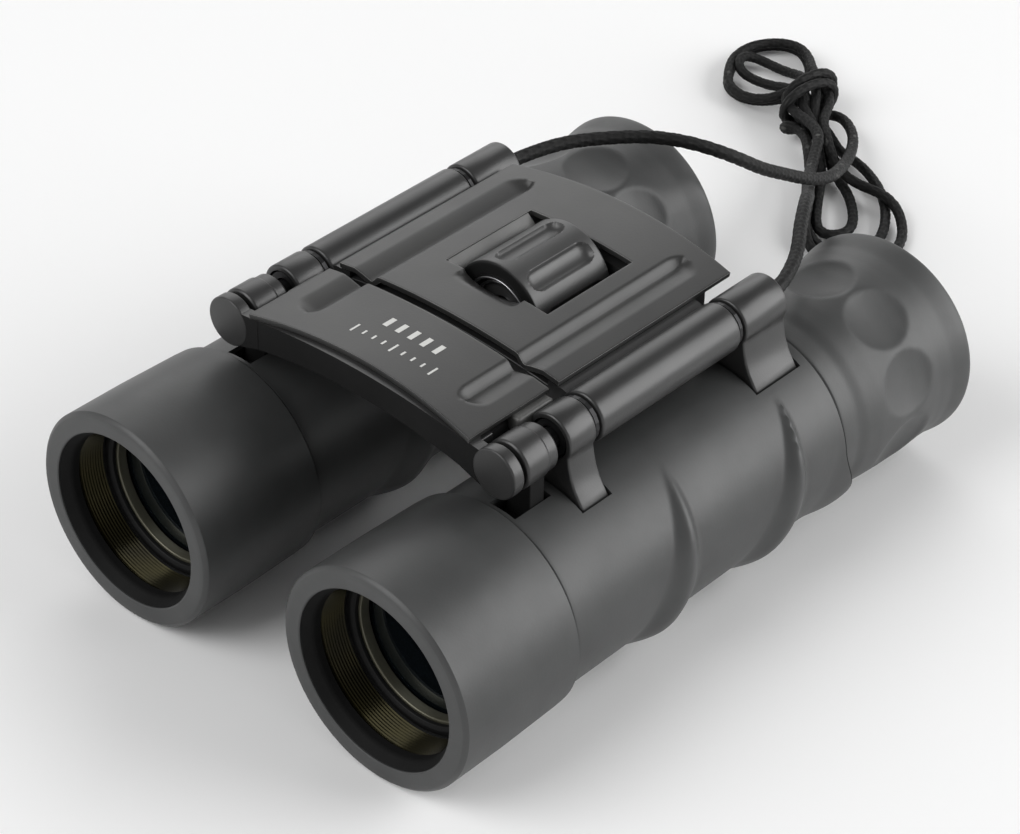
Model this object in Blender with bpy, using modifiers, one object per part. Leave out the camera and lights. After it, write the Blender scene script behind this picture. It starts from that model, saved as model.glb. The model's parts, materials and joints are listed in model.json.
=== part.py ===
"""Compact folding binoculars: a double-hinged bridge, two tubes and a centre focus drive.

World frame, metres: +X towards the tube at the user's left eye, +Y from the objectives to the
eyepieces, +Z up. The origin is on the resting surface, under the middle of the body's length.
Lengths are in millimetres until they reach a mesh. A place along Y is given as a distance
behind the objective rims, called "depth".
"""
import math

import bmesh
import bpy
from mathutils import Matrix, Vector

MM = 0.001
GAP = 0.3                    # clearance kept between pieces that touch on the real object

# Driving dimensions
LENGTH = 115.0               # objective rim to eyecup rim
TUBE_X = 25.3                # half the distance between the tube axes at rest
TUBE_Z = 17.5                # tube axis above the resting surface
HINGE_X = 26.2
HINGE_Z = 40.8
KNUCKLE_R = 4.0

SHROUD_R = 17.5
SHROUD_END = 23.6
OPENING_R = 13.2
OPENING_LIP = 3.2            # depth of the thickened lip inside the opening
RIM_INNER_R = 14.45
RIM_OUTER_R = 16.9
SHROUD_BORE = 14.2
ARMOUR_R = 16.1
ARMOUR_BORE = 15.3
ARMOUR_START = 24.0
ARMOUR_END = 84.4
RIDGE_HEIGHT = 1.4
RIDGE_STOPS = (24.0, 30.0, 36.0, 39.0, 42.0, 46.0, 50.0, 53.0, 58.0, 62.0, 65.0, 69.0, 73.0,
               77.0, 81.0, 84.4)       # depths where the armour has a ring of vertices
RIDGES = ((37.0, 53.0), (62.0, 76.5), (79.0, 92.0))   # front and rear foot of each finger ridge
RIDGE_FADE = 55.0            # degrees above the horizontal where a ridge runs out
HOUSING_R = 15.0
HOUSING_BORE = 13.75
HOUSING_END = 84.6
EYECUP_START = 85.0

# Optics: radii and depths inside each tube
CELL_R = 13.3
CELL_START = 8.6
CELL_END = 34.0
CELL_BORE = 12.2
CELL_STEP = (16.4, 17.6)     # the shoulder behind the objective lens
CELL_STEP_R = 11.5
LENS_R = 12.3
OBJECTIVE_LENS = (11.4, 14.6)
RETAINING_RING = ((LENS_R, 8.9), (LENS_R, 10.9), (11.3, 10.9), (11.3, 9.7), (11.7, 8.9))
HOLDER_R = 13.4
HOLDER_BORE = 12.5
PRISM_HOLDER = (42.0, 82.0)
FIELD_STOP = (82.4, 83.4)
FIELD_STOP_BORE = 7.0
PRISM_HALF = 8.0
FRONT_PRISM = ((46.0, 8.0), (46.0, -8.0), (58.0, -8.0), (62.0, 8.0))
ROOF_PRISM = ((58.7, -8.0), (66.0, -8.0), (76.0, 2.0), (74.0, 8.0), (62.7, 8.0))
PRISM_CLIP = (50.0, 72.0)
BARREL_TUBE = (86.0, 103.8)
BARREL_TUBE_R = 13.5
EYEPIECE_BORE = 9.5
EYE_LENS_R = 9.1
FIELD_LENS = (90.0, 93.0)
LENS_SPACER = (94.4, 97.4)
EYE_LENS = (99.0, 102.0)
EYE_RING = (104.4, 106.2)

FRONT_STRAP = (34.2, 39.7)
REAR_STRAP = (72.5, 82.0)
STRAP_HALF = 4.0
FOOT_HALF = 5.4
BARREL = (41.0, 71.3)
ARM = (28.0, 31.0)           # focus arm, where it passes through the slot in the tube
ARM_HALF = 2.2
FORWARD_TRAVEL = 3.0
REARWARD_TRAVEL = 1.0

PLATE_HALF = 21.6
PLATE_EDGE_Z = 44.4
PLATE_RISE = 1.8             # crown of the bridge between its edges
PLATE_BOW = 1.5              # curve of the front and rear edges in plan
SKIN = 0.8                   # thickness of the top plates
GROOVE_X = 15.0
GROOVE_HALF = 1.7
GROOVE_DEPTH = 0.9
CASTING_HALF = PLATE_HALF - 0.8
CASTING_DROP = SKIN + GROOVE_DEPTH + GAP     # how far the castings lie below the crown
MAIN_PLATE = (41.3, 79.0)
FOCUS_PLATE = (22.9, 39.2)
DISC = (22.9, 24.9)
RING = (25.7, 32.4)
CHANNEL_RUN = (30.0, 75.0)   # the channels' straight part, carried across both top plates
FRONT_FACE_END = 25.6
SCREW_BOSS = (28.0, 38.6)
SCREW_BOSS_HALF = 4.2

WHEEL_Z = 40.3
WHEEL_R = 8.3
WHEEL = (52.3, 68.2)
WINDOW = (51.0, 69.2)
WINDOW_HALF = 10.2
WHEEL_POCKETS = 8
FIRST_POCKET = 53.0          # angle of one pocket above +X
POCKET_R = 1.9
POCKET_OUT = 0.9             # how far outside the rim a pocket's cutter has its axis
HUB_R = 3.2
HUB_BORE = 2.2
FACE_RECESS_R = 5.9
FACE_RECESS = 0.9
NUT_R = 4.2
NUT_ROOM_R = 4.5
NUT = (54.5, 66.4)
SCREW_R = 1.7
SCREW = (28.4, 64.0)
GUIDE_R = 1.6
GUIDE_PIN_END = 46.0
BUSH_R = 2.9
BUSH = (34.4, 47.6)
REAR_PIN = (58.4, 80.4)
WASHER_R = 3.6
COVER_Z = 36.7
COVER_THICK = 0.7
COVER_SIZE = ((-18.3, 18.3), (42.5, 77.5))
POST_R = 2.2
TAPPING_R = 1.1
SCREW_HEAD_R = 1.9
SCREW_SHANK_R = 0.8
WALL_FOOT = 37.7             # underside of the casting's walls and posts
COVER_SCREWS = ((-13.0, 46.5), (13.0, 46.5), (-13.0, 73.5), (13.0, 73.5))

# Wrist cord: it leaves each rear knuckle, clears the eyecups and lies in a knotted hank behind
CORD_R = 1.05
HANK_HEIGHT = 5.0
LEFT_CORD = ((26.2, 82.4, 40.8), (25.9, 85.6, 40.8), (24.6, 89.0, 40.5), (22.4, 93.6, 39.9),
             (19.9, 97.8, 39.4), (16.9, 102.0, 38.9), (14.3, 106.0, 38.4), (11.4, 110.6, 37.6),
             (8.0, 115.8, 34.8), (3.4, 121.9, 28.6), (-3.8, 132.1, 21.0), (-10.2, 141.3, 15.0),
             (-14.0, 146.8, 10.4), (-17.0, 150.8, 7.2), (-18.2, 152.6, 6.4))
RIGHT_CORD = ((-26.2, 82.4, 40.8), (-25.9, 86.0, 40.7), (-25.1, 92.2, 40.2), (-23.8, 97.4, 39.5),
              (-21.6, 101.6, 39.0), (-19.1, 105.6, 38.6), (-17.0, 108.0, 38.3),
              (-14.2, 110.2, 38.0), (-11.4, 112.5, 37.2), (-9.4, 115.2, 35.6),
              (-8.3, 119.7, 32.5), (-8.1, 124.9, 28.6), (-8.5, 131.2, 24.6),
              (-9.3, 137.8, 20.4), (-10.6, 144.5, 16.5), (-12.4, 150.8, 11.8),
              (-13.8, 154.8, 8.4), (-14.8, 157.2, 6.4))
HANK_OUTLINE = ((-62.0, 188.0), (-57.0, 198.0), (-47.0, 196.5), (-34.0, 189.0), (-19.0, 177.5),
                (-4.0, 166.5), (2.0, 160.0), (1.0, 151.0), (-6.0, 146.0), (-15.0, 146.0),
                (-27.0, 161.0), (-38.0, 170.0), (-52.0, 174.0), (-61.0, 179.0))

SIDES = (("left", 1), ("right", -1))

MATERIALS = {
    "rubber": ((0.030, 0.031, 0.033), 0.62, 0.0),
    "shell": ((0.022, 0.023, 0.025), 0.45, 0.0),
    "skin": ((0.028, 0.029, 0.031), 0.38, 0.2),
    "inner_black": ((0.012, 0.012, 0.012), 0.80, 0.0),
    "steel": ((0.55, 0.55, 0.56), 0.30, 1.0),
    "brass": ((0.60, 0.48, 0.22), 0.35, 1.0),
    "bare_alloy": ((0.42, 0.43, 0.44), 0.40, 0.8),
    "glass": ((0.30, 0.28, 0.36), 0.05, 0.0),
    "cord": ((0.015, 0.015, 0.016), 0.85, 0.0),
}


def remove_startup_objects():
    for item in list(bpy.data.objects):
        bpy.data.objects.remove(item, do_unlink=True)


def make_material(name):
    colour, roughness, metallic = MATERIALS[name]
    material = bpy.data.materials.new(name)
    material.use_nodes = True
    shader = material.node_tree.nodes["Principled BSDF"]
    shader.inputs["Base Color"].default_value = (*colour, 1.0)
    shader.inputs["Roughness"].default_value = roughness
    shader.inputs["Metallic"].default_value = metallic
    return material


def make_collection(name):
    collection = bpy.data.collections.new(name)
    bpy.context.scene.collection.children.link(collection)
    return collection


remove_startup_objects()
MATERIAL = {name: make_material(name) for name in MATERIALS}
PARTS = make_collection("Binoculars")
CUTTERS = make_collection("Cutters")


def depth_to_y(depth):
    return (depth - LENGTH / 2) * MM


def add_object(name, data, material=None):
    """A part when it has a material, otherwise a cutter."""
    item = bpy.data.objects.new(name, data)
    if material is None:
        CUTTERS.objects.link(item)
        item.hide_render = True
        item.display_type = "WIRE"
    else:
        PARTS.objects.link(item)
        data.materials.append(MATERIAL[material])
    return item


def clockwise(points):
    area = 0.0
    for (x0, y0), (x1, y1) in zip(points, points[1:] + points[:1]):
        area += x0 * y1 - x1 * y0
    return points if area < 0 else points[::-1]


def turned(name, profile, x, z, material=None, steps=32):
    """Turn a closed (radius, depth) outline about a line along Y through x, z."""
    points = clockwise(list(profile))
    mesh = bpy.data.meshes.new(name)
    edges = [(i, (i + 1) % len(points)) for i in range(len(points))]
    edges = [(a, b) for a, b in edges if points[a][0] > 0 or points[b][0] > 0]
    mesh.from_pydata([(r * MM, 0.0, d * MM) for r, d in points], edges, [])
    item = add_object(name, mesh, material)
    item.rotation_euler = (-math.pi / 2, 0.0, 0.0)
    item.location = (x * MM, depth_to_y(0.0), z * MM)
    screw = item.modifiers.new("Turn", "SCREW")
    screw.steps = steps
    screw.render_steps = steps
    screw.use_merge_vertices = True
    screw.merge_threshold = 0.00001
    screw.use_smooth_shade = False
    return item


def tube(name, outer, inner, start, end, x, z, material=None, steps=32):
    return turned(name, [(inner, start), (outer, start), (outer, end), (inner, end)],
                  x, z, material, steps)


def rod(name, radius, start, end, x, z, material=None, steps=20):
    return turned(name, [(0.0, start), (radius, start), (radius, end), (0.0, end)],
                  x, z, material, steps)


def block(name, xs, depths, zs, material=None):
    mesh = bpy.data.meshes.new(name)
    build = bmesh.new()
    bmesh.ops.create_cube(build, size=1.0)
    size = Vector((xs[1] - xs[0], depths[1] - depths[0], zs[1] - zs[0])) * MM
    bmesh.ops.scale(build, vec=size, verts=build.verts)
    build.to_mesh(mesh)
    build.free()
    item = add_object(name, mesh, material)
    item.location = ((xs[0] + xs[1]) / 2 * MM, depth_to_y((depths[0] + depths[1]) / 2),
                     (zs[0] + zs[1]) / 2 * MM)
    return item


def extruded(name, outline, start, end, material=None):
    """Extrude an (x, z) outline along Y from start to end depth, as a mesh."""
    curve = bpy.data.curves.new(name + "_outline", "CURVE")
    curve.dimensions = "2D"
    curve.fill_mode = "BOTH"
    curve.extrude = (end - start) / 2 * MM
    spline = curve.splines.new("POLY")
    spline.points.add(len(outline) - 1)
    for point, (x, z) in zip(spline.points, outline):
        point.co = (x * MM, z * MM, 0.0, 1.0)
    spline.use_cyclic_u = True
    guide = bpy.data.objects.new(name + "_outline", curve)
    CUTTERS.objects.link(guide)
    guide.rotation_euler = (math.pi / 2, 0.0, 0.0)
    guide.location = (0.0, depth_to_y((start + end) / 2), 0.0)
    bpy.context.view_layer.update()
    mesh = mesh_of(guide, 0.000001)
    item = add_object(name, mesh, material)
    item.matrix_world = guide.matrix_world.copy()
    bpy.data.objects.remove(guide, do_unlink=True)
    return item


def mesh_of(item, merge=0.0):
    graph = bpy.context.evaluated_depsgraph_get()
    mesh = bpy.data.meshes.new_from_object(item.evaluated_get(graph), depsgraph=graph)
    if merge:
        build = bmesh.new()
        build.from_mesh(mesh)
        bmesh.ops.remove_doubles(build, verts=build.verts, dist=merge)
        bmesh.ops.recalc_face_normals(build, faces=build.faces)
        build.to_mesh(mesh)
        build.free()
    mesh.materials.clear()
    return mesh


def combine(item, other, operation):
    step = item.modifiers.new(operation.title(), "BOOLEAN")
    step.operation = operation
    step.solver = "EXACT"
    step.object = other


def join(item, *others):
    for other in others:
        combine(item, other, "UNION")


def cut(item, *others):
    for other in others:
        combine(item, other, "DIFFERENCE")


def make_group(name, x=0.0, z=0.0, parent=None):
    """An empty on a joint's axis, for the pieces that move together."""
    empty = bpy.data.objects.new(name, None)
    PARTS.objects.link(empty)
    empty.empty_display_size = 0.01
    empty.location = (x * MM, 0.0, z * MM)
    if parent:
        attach(parent, empty)
    return empty


def mirrored(sign, inner, outer):
    """An X range on one side of the middle, in rising order."""
    return tuple(sorted((sign * inner, sign * outer)))


def attach(group, *items):
    bpy.context.view_layer.update()
    for item in items:
        item.parent = group
        item.matrix_parent_inverse = group.matrix_world.inverted()


# Bridge

def crown(x):
    """Height of the bridge's top surface at x."""
    return PLATE_EDGE_Z + PLATE_RISE * (1 - (x / PLATE_HALF) ** 2)


def groove(x, depth, start, end):
    """How far the lengthwise channel lowers the top plate."""
    run = min(depth - start, end - depth, 0.0)
    reach = math.hypot(abs(x) - GROOVE_X, run) / GROOVE_HALF
    return GROOVE_DEPTH * (1 - reach ** 2) if reach < 1 else 0.0


def edge_bow(x):
    return PLATE_BOW * (1 - (x / PLATE_HALF) ** 2)


def column_places(half):
    """Where the top plates have vertices across X: finer over the channels."""
    channel = [GROOVE_X - GROOVE_HALF, GROOVE_X - 0.6, GROOVE_X + 0.6, GROOVE_X + GROOVE_HALF]
    places = [0.0, 4.5, 9.0, *channel, 18.8, half]
    return [-place for place in places[:0:-1]] + places


def crowned_sheet(name, half, depths, bows, drop, thickness, material, channel=None, rows=6):
    """A crowned sheet whose front and rear edges curve in plan, thickened downwards."""
    columns = column_places(half)
    mesh = bpy.data.meshes.new(name)
    build = bmesh.new()
    bmesh.ops.create_grid(build, x_segments=len(columns) - 1, y_segments=rows, size=1.0)
    for vertex in build.verts:
        x = columns[round((vertex.co.x + 1) / 2 * (len(columns) - 1))]
        share = (vertex.co.y + 1) / 2
        front = depths[0] + bows[0] * edge_bow(x)
        rear = depths[1] + bows[1] * edge_bow(x)
        depth = front + share * (rear - front)
        dip = groove(x, depth, *channel) if channel else 0.0
        vertex.co = (x * MM, depth_to_y(depth), (crown(x) - drop - dip) * MM)
    build.to_mesh(mesh)
    build.free()
    item = add_object(name, mesh, material)
    shell = item.modifiers.new("Thickness", "SOLIDIFY")
    shell.thickness = thickness * MM
    shell.offset = -1.0
    return item


def make_bridge():
    casting = crowned_sheet("main_bridge", CASTING_HALF, (MAIN_PLATE[0] + 0.2, 78.4), (0.0, 1.0),
                            CASTING_DROP, 2.4, "shell")
    for side, sign in SIDES:
        barrel = rod(side + "_barrel_stock", KNUCKLE_R - 0.05, *BARREL,
                     sign * HINGE_X, HINGE_Z, steps=24)
        web = block(side + "_barrel_web", mirrored(sign, 19.0, 24.6), (41.6, 71.0), (40.0, 42.9))
        join(casting, web, barrel)
    front_wall = block("front_wall_stock", (-8.6, 8.6), (43.0, WINDOW[0]), (WALL_FOOT, 43.0))
    rear_wall = block("rear_wall_stock", (-8.6, 8.6), (WINDOW[1], 76.0), (WALL_FOOT, 43.0))
    join(casting, front_wall, rear_wall)
    for number, (x, depth) in enumerate(COVER_SCREWS, 1):
        post = upright("cover_post_%d" % number, POST_R, x, depth, WALL_FOOT, 43.0)
        join(casting, post)
    for number, (x, depth) in enumerate(COVER_SCREWS, 1):
        cut(casting, upright("cover_tapping_%d" % number, TAPPING_R, x, depth, 37.0, 41.5))
    window = block("wheel_window", (-WINDOW_HALF, WINDOW_HALF), WINDOW, (30.0, 50.0))
    bore = rod("screw_bore", SCREW_R + 0.4, 35.0, 52.0, 0.0, WHEEL_Z, steps=16)
    cut(casting, window, bore)
    for side, sign in SIDES:
        x = sign * HINGE_X
        cut(casting, rod(side + "_bush_bore", BUSH_R + GAP, 40.0, 48.0, x, HINGE_Z),
            rod(side + "_pin_bore", GUIDE_R + GAP, 58.0, 73.0, x, HINGE_Z, steps=16))

    skin = crowned_sheet("bridge_top_plate", PLATE_HALF, MAIN_PLATE, (0.0, 1.0), 0.0, SKIN,
                         "skin", channel=CHANNEL_RUN, rows=8)
    cut(skin, block("plate_window", (-WINDOW_HALF, WINDOW_HALF), WINDOW, (40.0, 50.0)))

    cover = block("bridge_bottom_cover", *COVER_SIZE, (COVER_Z, COVER_Z + COVER_THICK), "shell")
    cut(cover, block("cover_window", (-WINDOW_HALF, WINDOW_HALF), WINDOW, (30.0, 40.0)))
    for number, (x, depth) in enumerate(COVER_SCREWS, 1):
        cut(cover, upright("cover_hole_%d" % number, 1.2, x, depth, 36.0, 40.0))
        head = COVER_Z - GAP
        turned_upright("cover_screw_%d" % number,
                       [(0.0, head - 0.4), (SCREW_HEAD_R, head - 0.4), (SCREW_HEAD_R, head),
                        (SCREW_SHANK_R, head), (SCREW_SHANK_R, 40.8), (0.0, 40.8)],
                       x, depth, "steel")


def turned_upright(name, profile, x, depth, material=None, steps=12):
    """Turn a (radius, height) outline about a vertical line."""
    item = turned(name, profile, x, 0.0, material, steps)
    item.rotation_euler = (0.0, 0.0, 0.0)
    item.location = (x * MM, depth_to_y(depth), 0.0)
    return item


def upright(name, radius, x, depth, low, high):
    return turned_upright(name, [(0.0, low), (radius, low), (radius, high), (0.0, high)],
                          x, depth)


def make_hinge_hardware(side, sign):
    x = sign * HINGE_X
    tube(side + "_front_hinge_bush", BUSH_R, GUIDE_R + GAP, *BUSH, x, HINGE_Z, "steel", 20)
    rod(side + "_rear_hinge_pin", GUIDE_R, *REAR_PIN, x, HINGE_Z, "steel", 16)
    tube(side + "_front_hinge_washer", WASHER_R, BUSH_R + GAP, FRONT_STRAP[1] + GAP,
         BARREL[0] - GAP, x, HINGE_Z, "steel", 20)
    tube(side + "_rear_hinge_washer", WASHER_R, GUIDE_R + GAP, BARREL[1] + GAP,
         REAR_STRAP[0] - GAP, x, HINGE_Z, "steel", 20)


# Focus drive

def make_focus_drive():
    drive = make_group("focus_wheel_axis", 0.0, WHEEL_Z)
    front, rear = WHEEL
    face = front + FACE_RECESS
    wheel = turned("focus_wheel", [
        (HUB_BORE, WINDOW[0] + GAP), (HUB_R, WINDOW[0] + GAP), (HUB_R, face), (FACE_RECESS_R, face),
        (FACE_RECESS_R, front), (WHEEL_R - 0.4, front), (WHEEL_R, front + 0.5),
        (WHEEL_R, rear - 0.5), (WHEEL_R - 0.4, rear), (HUB_R, rear),
        (HUB_R, WINDOW[1] - GAP), (HUB_BORE, WINDOW[1] - GAP), (HUB_BORE, NUT[1] + GAP),
        (NUT_ROOM_R, NUT[1] + GAP), (NUT_ROOM_R, NUT[0] - GAP), (HUB_BORE, NUT[0] - GAP)],
        0.0, WHEEL_Z, "shell", 32)
    for number in range(WHEEL_POCKETS):
        angle = math.radians(FIRST_POCKET + 360.0 * number / WHEEL_POCKETS)
        reach = WHEEL_R + POCKET_OUT
        pocket = turned("wheel_pocket_%d" % number, [
            (0.0, front + 1.2), (POCKET_R, front + 2.8), (POCKET_R, rear - 2.8), (0.0, rear - 1.2)],
            reach * math.cos(angle), WHEEL_Z + reach * math.sin(angle), steps=8)
        cut(wheel, pocket)
    nut = tube("focus_nut", NUT_R, SCREW_R + 0.35, *NUT, 0.0, WHEEL_Z, "brass", 20)
    attach(drive, wheel, nut)

    slide = make_group("focus_slide")
    plate = crowned_sheet("focus_plate", CASTING_HALF, (25.2, FOCUS_PLATE[1] - 0.3), (0.0, 0.0),
                          CASTING_DROP, 1.8, "shell", rows=3)
    join(plate, extruded("front_wall", front_wall_outline(), FOCUS_PLATE[0] + 0.2, FRONT_FACE_END))
    for side, sign in SIDES:
        x = sign * HINGE_X
        web = block(side + "_disc_web", mirrored(sign, 18.0, 25.0),
                    (DISC[0] + 0.1, DISC[1] - 0.1), (38.6, 43.2))
        disc = rod(side + "_disc", KNUCKLE_R - 0.05, *DISC, x, HINGE_Z, steps=24)
        join(plate, web, disc)
        cut(plate, rod(side + "_pin_seat", GUIDE_R + GAP, DISC[0] + 0.8, 27.0, x, HINGE_Z,
                       steps=16))
    join(plate, block("screw_boss", (-SCREW_BOSS_HALF, SCREW_BOSS_HALF), SCREW_BOSS, (37.6, 43.4)))
    cut(plate, rod("screw_seat", SCREW_R + GAP, SCREW_BOSS[0] - 1.0, 45.0, 0.0, WHEEL_Z))
    top = crowned_sheet("focus_top_plate", PLATE_HALF, FOCUS_PLATE, (1.0, 0.0), 0.0, SKIN,
                        "skin", channel=CHANNEL_RUN, rows=5)
    screw = rod("focus_screw", SCREW_R, *SCREW, 0.0, WHEEL_Z, "steel", 16)
    pins = [rod(side + "_guide_pin", GUIDE_R, DISC[0] + 1.1, GUIDE_PIN_END, sign * HINGE_X,
                HINGE_Z, "steel", 16) for side, sign in SIDES]
    attach(slide, plate, top, screw, *pins)


def front_wall_outline():
    """Tall front face: crowned top, arched underside."""
    half = 20.8
    steps = 10
    places = [-half + 2 * half * i / steps for i in range(steps + 1)]
    top = [(x, crown(x) - CASTING_DROP - 0.2) for x in places]
    under = [(x, 41.0 - 2.6 * (x / half) ** 2) for x in reversed(places)]
    return top + under


# Tubes

def ridge_height(angle, depth):
    """Finger ridges: crescents that run out towards the top of the tube."""
    lift = abs((angle + 90.0 + 180.0) % 360.0 - 180.0)    # 0 at the bottom, 180 at the top
    fade = max(0.0, 1.0 - (lift / (90.0 + RIDGE_FADE)) ** 3)
    height = 0.0
    for front, rear in RIDGES:
        start = rear - (rear - front) * fade
        if start < depth < rear:
            place = 2 * (depth - start) / (rear - start) - 1
            height = max(height, RIDGE_HEIGHT * fade * (1 - abs(place) ** 2.5))
    return height


def make_armour(side, sign):
    profile = [(ARMOUR_BORE, ARMOUR_END), (ARMOUR_BORE, ARMOUR_START)]
    profile += [(ARMOUR_R, depth) for depth in RIDGE_STOPS]
    stock = turned(side + "_armour_stock", profile, sign * TUBE_X, TUBE_Z, steps=32)
    bpy.context.view_layer.update()
    mesh = mesh_of(stock)
    armour = add_object(side + "_grip_armour", mesh, "rubber")
    armour.matrix_world = stock.matrix_world.copy()
    bpy.data.objects.remove(stock, do_unlink=True)
    for vertex in mesh.vertices:
        across = sign * vertex.co.x
        up = -vertex.co.y
        if math.hypot(across, up) < (ARMOUR_BORE + 0.2) * MM:
            continue
        angle = math.degrees(math.atan2(up, across))
        grow = 1 + ridge_height(angle, vertex.co.z / MM) / ARMOUR_R
        vertex.co.x *= grow
        vertex.co.y *= grow
    relief_half = FOOT_HALF + GAP
    for label, (start, end) in (("front", FRONT_STRAP), ("rear", REAR_STRAP)):
        cut(armour, block("%s_%s_foot_relief" % (side, label),
                          mirrored(sign, HINGE_X - relief_half, HINGE_X + relief_half),
                          (start - GAP, end + GAP), (28.0, 40.0)))
    cut(armour, arm_slot(side, sign, "armour"))
    return armour


def arm_slot(side, sign, label):
    x = sign * HINGE_X
    return block("%s_%s_arm_slot" % (side, label), (x - ARM_HALF - 0.5, x + ARM_HALF + 0.5),
                 (ARM[0] - FORWARD_TRAVEL - 0.5, ARM[1] + REARWARD_TRAVEL + 0.5), (26.0, 40.0))


def strap_outline(x):
    """A knuckle on the hinge axis, with a flared foot down to the tube."""
    arc = []
    for step in range(13):
        angle = math.pi * step / 12
        arc.append((x + KNUCKLE_R * math.cos(angle), HINGE_Z + KNUCKLE_R * math.sin(angle)))
    return [(x + FOOT_HALF, 28.5), (x + FOOT_HALF, 33.4), (x + STRAP_HALF, 36.4), *arc,
            (x - STRAP_HALF, 36.4), (x - FOOT_HALF, 33.4), (x - FOOT_HALF, 28.5)]


def make_housing(side, sign):
    x = sign * HINGE_X
    housing = rod(side + "_tube_housing", HOUSING_R, ARMOUR_START, HOUSING_END,
                  sign * TUBE_X, TUBE_Z, "shell", 32)
    for label, (start, end) in (("front", FRONT_STRAP), ("rear", REAR_STRAP)):
        join(housing, extruded("%s_%s_strap" % (side, label), strap_outline(x), start, end))
    cut(housing, rod(side + "_housing_bore", HOUSING_BORE, 20.0, 90.0, sign * TUBE_X, TUBE_Z,
                     steps=30),
        rod(side + "_front_knuckle_bore", BUSH_R + GAP, 33.0, 41.0, x, HINGE_Z),
        rod(side + "_rear_knuckle_bore", GUIDE_R + GAP, 71.0, 80.8, x, HINGE_Z, steps=16),
        arm_slot(side, sign, "housing"))
    return housing


def make_shroud(side, sign):
    profile = [(OPENING_R, 2.2), (RIM_INNER_R - 0.2, 0.25), (RIM_INNER_R, 0.0), (RIM_OUTER_R, 0.0),
               (SHROUD_R, 0.6), (SHROUD_R, 12.0), (17.25, 21.6), (17.15, SHROUD_END - 0.2),
               (16.95, SHROUD_END), (SHROUD_BORE, SHROUD_END), (SHROUD_BORE, OPENING_LIP),
               (OPENING_R, OPENING_LIP)]
    return turned(side + "_objective_shroud", profile, sign * TUBE_X, TUBE_Z, "rubber", 32)


def lens(name, radius, start, end, bulge, x, material="glass"):
    profile = [(0.0, start - bulge), (radius * 0.5, start - bulge * 0.75), (radius, start),
               (radius, end), (radius * 0.5, end + bulge * 0.75), (0.0, end + bulge)]
    return turned(name, profile, x, TUBE_Z, material, 16)


def make_objective(side, sign):
    x = sign * TUBE_X
    cell = turned(side + "_objective_cell", [
        (CELL_R, CELL_START), (CELL_R, CELL_END), (CELL_BORE, CELL_END), (CELL_BORE, CELL_STEP[1]),
        (CELL_STEP_R, CELL_STEP[1]), (CELL_STEP_R, CELL_STEP[0]), (LENS_R + GAP, CELL_STEP[0]),
        (LENS_R + GAP, CELL_START)],
        x, TUBE_Z, "inner_black", 24)
    hinge = sign * HINGE_X
    arm = block(side + "_focus_arm", (hinge - ARM_HALF, hinge + ARM_HALF), ARM, (30.0, 40.0))
    ring = rod(side + "_arm_ring", KNUCKLE_R - 0.05, *RING, hinge, HINGE_Z, steps=24)
    join(cell, arm, ring)
    cut(cell, rod(side + "_ring_bore", GUIDE_R + GAP, 24.0, 33.0, hinge, HINGE_Z, steps=16))
    glass = lens(side + "_objective_lens", LENS_R, *OBJECTIVE_LENS, 1.0, x)
    ring = turned(side + "_objective_retaining_ring", RETAINING_RING, x, TUBE_Z, "bare_alloy", 24)
    return cell, glass, ring


def side_profile(name, outline, x, half, material):
    """Extrude a (depth, height above the tube axis) outline across X."""
    item = extruded(name, outline, 0.0, 2 * half, material)
    item.matrix_world = (Matrix.Translation((x * MM, depth_to_y(0.0), TUBE_Z * MM))
                         @ Matrix.Rotation(math.pi / 2, 4, "Z")
                         @ Matrix.Rotation(math.pi / 2, 4, "X"))
    return item


def make_prisms(side, sign):
    x = sign * TUBE_X
    holder = tube(side + "_prism_holder", HOLDER_R, HOLDER_BORE, *PRISM_HOLDER, x, TUBE_Z,
                  "inner_black", 16)
    front = side_profile(side + "_front_prism", FRONT_PRISM, x, PRISM_HALF, "glass")
    rear = side_profile(side + "_roof_prism", ROOF_PRISM, x, PRISM_HALF, "glass")
    clip = block(side + "_prism_clip", (x - 3.0, x + 3.0), PRISM_CLIP,
                 (TUBE_Z + 8.4, TUBE_Z + 9.1), "steel")
    stop = tube(side + "_field_stop", HOLDER_R, FIELD_STOP_BORE, *FIELD_STOP, x, TUBE_Z,
                "inner_black", 16)
    return holder, front, rear, clip, stop


def make_eyepiece(side, sign):
    x = sign * TUBE_X
    barrel = tube(side + "_eyepiece_barrel", BARREL_TUBE_R, EYEPIECE_BORE, *BARREL_TUBE, x, TUBE_Z,
                  "inner_black", 24)
    field = lens(side + "_field_lens", EYE_LENS_R, *FIELD_LENS, 0.9, x)
    spacer = tube(side + "_lens_spacer", EYE_LENS_R, EYE_LENS_R - 1.0, *LENS_SPACER, x, TUBE_Z,
                  "inner_black", 16)
    eye = lens(side + "_eye_lens", EYE_LENS_R, *EYE_LENS, 0.9, x)
    ring = tube(side + "_eyepiece_retaining_ring", 8.7, 7.2, *EYE_RING, x, TUBE_Z,
                "inner_black", 24)
    cup = turned(side + "_eyecup", [
        (13.9, EYECUP_START), (15.2, EYECUP_START), (15.3, 89.0), (16.0, 92.5), (16.4, 97.5),
        (16.3, 109.0), (17.15, 113.6), (16.9, 114.6), (16.2, LENGTH), (15.0, LENGTH),
        (13.4, 112.0), (11.8, 109.0), (9.0, 108.2), (9.0, 104.2), (13.9, 104.2)],
        x, TUBE_Z, "rubber", 32)
    return barrel, field, spacer, eye, ring, cup


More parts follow.
